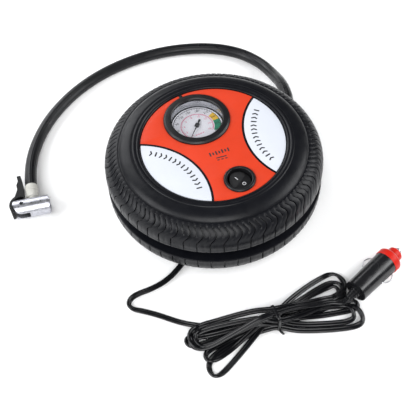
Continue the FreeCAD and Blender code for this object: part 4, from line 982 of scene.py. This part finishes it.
def make_dial_print(place):
    """Two scales with figures, a yellow and a green zone, and a small unit mark."""
    black = Marks("dial_black", place)
    pink = Marks("dial_pink", place)
    scales = [(black, 18.2, 18.65, 1.4, 40, 4, 15.5, 2.7, 30),
              (pink, 12.25, 12.65, 1.1, 40, 5, 9.7, 2.4, 2)]
    for marks, inner, outer, tick, steps, whole, ring, size, unit in scales:
        marks.band((0, 0), inner, outer, SCALE_START, SCALE_START + SCALE_SWEEP)
        for i in range(steps + 1):
            turn = math.radians(SCALE_START + SCALE_SWEEP * i / steps)
            out = (math.cos(turn), math.sin(turn))
            long = tick * (1.0 if i % whole == 0 else 0.55)
            middle = inner - long / 2
            marks.bar((out[0] * middle, out[1] * middle), out, long + 0.2, 0.3)
            if i % whole == 0:
                marks.figures(str(unit * i // whole), (out[0] * ring, out[1] * ring), size)
    for k in range(4):
        pink.bar((-4.4 + 1.9 * k, -7.6), (1, 0), 1.4, 0.75)
    black.made("dial_white", PRINTS["print_dark"])
    pink.made("dial_white", PRINTS["print_pink"])
    zones = place @ Matrix.Translation((0, 0, -0.02 * MM))
    for name, first, last in (("yellow", 22.0, -3.0), ("green", -3.0, -43.0)):
        zone = Marks(f"dial_{name}", zones)
        zone.band((0, 0), 13.3, 18.2, first, last)
        zone.made("dial_white", PRINTS[f"print_{name}"])


make_gauge()


# ------------------------ the rocker switch

SWITCH_TURN = math.radians(28.0)
ROCKER_PIVOT = 54.6
ROCKER_TILT = math.radians(10.0)
ROCKER_RISE = 1.3 / 8.0


def make_switch():
    place = Matrix.Translation((SWITCH[0] * MM, SWITCH[1] * MM, 0))
    place @= Matrix.Rotation(SWITCH_TURN, 4, "Z")
    turned_piece("switch_ring", [
        (9.0, 50.8, 0), (9.0, 60.8, 0.7), (10.8, 60.8, 0.8), (11.65, 59.7, 0.5), (11.65, 59.0, 0),
        (10.0, 59.0, 0), (10.0, 41.0, 0.6), (0, 41.0, 0), (0, 50.8, 0)],
        "trim_black", place, 128, replaces=["switch_housing"])
    rocker_place = (place @ Matrix.Translation((0, 0, ROCKER_PIVOT * MM))
                    @ Matrix.Rotation(ROCKER_TILT, 4, "X"))
    rings = [(radius, 2.3) for radius in range(8)]
    rings += [(7.6, 2.25), (7.9, 2.1), (8.0, 1.8), (8.0, 0.4), (3.0, -2.8), (0, -2.8)]
    points, faces = lathed([(r * MM, z * MM) for r, z in rings], 96)
    shaped = []
    for x, y, z in points:
        lift = ROCKER_RISE * abs(y) if z > 1.0 * MM else 0.0
        shaped.append(rocker_place @ Vector((x, y, z + lift)))
    piece_of("rocker_cap", mesh_from("rocker_cap", shaped, faces), "trim_black", body="rocker",
             replaces=["switch_rocker"], sharp=12)
    for name, side in (("on", 1), ("off", -1)):
        slope = Matrix.Rotation(side * math.atan(ROCKER_RISE), 4, "X")
        spot = Vector((0, side * 3.4, 2.3 + ROCKER_RISE * 3.4 - 0.01)) * MM
        marks = Marks(f"rocker_{name}", rocker_place @ Matrix.Translation(spot) @ slope)
        if name == "on":
            marks.bar((0, 0), (0, 1), 2.8, 0.42)
        else:
            marks.band((0, 0), 0.95, 1.35, 0, 360)
        marks.made("trim_black", PRINTS["print_pale"], body="rocker")


make_switch()


# ------------------------ the hose's gland and chuck

CHUCK_CENTRE = Vector((-135.3, 51.0, 7.5)) * MM
CHUCK_AXIS = Vector((0.961, -0.276, 0)).normalized()
CHUCK_SIDE = Vector((0.276, 0.961, 0)).normalized()


def make_gland():
    place = frame_at(Vector(HOSE_ROUTE[0]), (13.5, 21.0, 0))
    turned_piece("gland_sleeve", [
        (0, -12.0, 0), (4.1, -12.0, 0.3), (5.7, -10.0, 0.3), (5.7, -6.0, 0.2), (5.2, -5.6, 0.2),
        (5.2, -4.6, 0.2), (5.7, -4.2, 0.2), (5.7, -1.2, 0.8), (5.0, 0, 0.2), (0, 0, 0)],
        "seal_rubber", place, 48, replaces=["hose_gland"])


def make_ferrule():
    """The painted crimp sleeve: a rolled lip at the hose's end and three crimped rings."""
    place = frame_at(CHUCK_CENTRE + CHUCK_AXIS * 1.8 * MM, CHUCK_SIDE)
    return turned_piece("crimp_sleeve", [
        (0, 4.2, 0), (3.2, 4.2, 0), (3.2, 8.6, 0), (4.6, 8.6, 0.3), (5.1, 9.1, 0.3),
        (5.1, 11.0, 0.4), (4.75, 11.4, 0.3), (4.75, 12.1, 0.3), (5.15, 12.5, 0.4),
        (5.15, 14.1, 0.4), (4.75, 14.5, 0.3), (4.75, 15.2, 0.3), (5.2, 15.6, 0.4),
        (5.2, 19.7, 0.5), (4.85, 20.3, 0.2), (0, 20.3, 0)],
        "ferrule_white", place, 64, replaces=["hose_ferrule"], sharp=50)


make_gland()
ferrule = make_ferrule()


# ------------------------ the lead's plug

def make_plug():
    place = frame_at(PLUG_TAIL, PLUG_AIM)
    relief_corners = [(0, -9.0, 0), (2.5, -9.0, 0.3)]
    for k in range(4):
        start = -8.2 + 2.0 * k
        radius = 2.75 + 0.35 * k
        relief_corners += [(radius, start, 0.25), (radius + 0.25, start + 1.1, 0.25),
                           (radius - 0.35, start + 1.4, 0.15), (radius - 0.3, start + 1.8, 0.15)]
    relief_corners += [(4.2, -0.1, 0.1), (4.2, 0, 0), (0, 0, 0)]
    relief = turned_piece("ribbed_relief", relief_corners, "lead_black", place, 48,
                          replaces=["plug_relief"], sharp=50)
    cap = turned_piece("red_cap", [
        (3.3, 33.5, 0), (9.5, 33.5, 0.3), (9.5, 38.4, 1.2), (8.2, 39.8, 0.8), (6.0, 40.0, 0.5),
        (5.6, 40.6, 0.4), (5.6, 45.0, 1.0), (4.1, 46.5, 0.6), (2.7, 46.5, 0.1), (2.7, 43.0, 0),
        (3.3, 41.5, 0)], "cap_red", place, replaces=["plug_cap"])
    return relief, cap


plug_relief, plug_cap = make_plug()


# ------------------------ the two coil springs

def make_spring(node, place, height, radius, wire, turns):
    """A coil spring up from place."""
    steps = 20 * turns
    around = np.linspace(0, 2 * math.pi * turns, steps + 1)
    climb = wire + (height - 2 * wire) * smooth_step(0.0, 1.0, np.linspace(-0.12, 1.12, steps + 1))
    line = np.stack([radius * np.cos(around), radius * np.sin(around), climb], axis=1)
    section = np.array(arc((0, 0), wire, 0, 324, 10))
    mesh = swept(node + "_coil", line, section)
    mesh.transform(place)
    spring = piece_of(node + "_coil", mesh, "steel", replaces=[node], sharp=60)
    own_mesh(spring)


def make_springs():
    fuse_place = frame_at(PLUG_TAIL + PLUG_AIM * 5.2 * MM, PLUG_AIM)
    make_spring("fuse_spring", fuse_place, 4.7 * MM, 2.1 * MM, 0.22 * MM, 4)
    low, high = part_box("valve_spring")
    middle = (low + high) / 2
    valve_place = frame_at((middle.x, low.y, middle.z), (0, 1, 0))
    make_spring("valve_spring", valve_place, high.y - low.y, 1.5 * MM, 0.2 * MM, 4)


make_springs()


# ------------------------ the bench, lights and world

def make_stage():
    """A plain pale floor, lit softly, in a bright room."""
    points = [(-6, -6, 0), (6, -6, 0), (6, 6, 0), (-6, 6, 0)]
    floor = bpy.data.objects.new("floor", mesh_from("floor", points, [(0, 1, 2, 3)]))
    floor.location.z = -0.2 * MM
    floor.data.materials.append(finish("floor_paper", (0.975, 0.975, 0.975), 0.9, vary=0.005,
                                       cloud=0.4, relief=0.0, specular=0.05))
    bpy.context.scene.collection.objects.link(floor)
    lamps = [
        ("above_camera", (-0.75, -1.35, 1.55), 1.5, 40.0, (1.0, 1.0, 1.0)),
        ("left", (-1.50, 0.25, 1.00), 1.2, 24.0, (0.97, 0.98, 1.0)),
        ("right", (1.40, -0.55, 0.95), 1.2, 24.0, (0.98, 0.99, 1.0)),
        ("behind", (-0.35, 1.60, 1.00), 1.4, 22.0, (0.97, 0.98, 1.0)),
    ]
    for name, place, size, power, colour in lamps:
        data = bpy.data.lights.new(name, "AREA")
        data.shape = "SQUARE"
        data.size = size
        data.energy = power
        data.color = colour
        lamp = bpy.data.objects.new(name, data)
        bpy.context.scene.collection.objects.link(lamp)
        place = Vector(place)
        lamp.matrix_world = facing(place, (Vector((0, 0, 0.03)) - place).normalized(),
                                   Vector((0.1, 0.9, 0.3)))
    world = bpy.data.worlds.new("room")
    world.use_nodes = True
    world.node_tree.nodes["Background"].inputs["Color"].default_value = (1.0, 1.0, 1.0, 1)
    world.node_tree.nodes["Background"].inputs["Strength"].default_value = 0.14
    bpy.context.scene.world = world
    bpy.context.scene.view_settings.view_transform = "Standard"


make_stage()
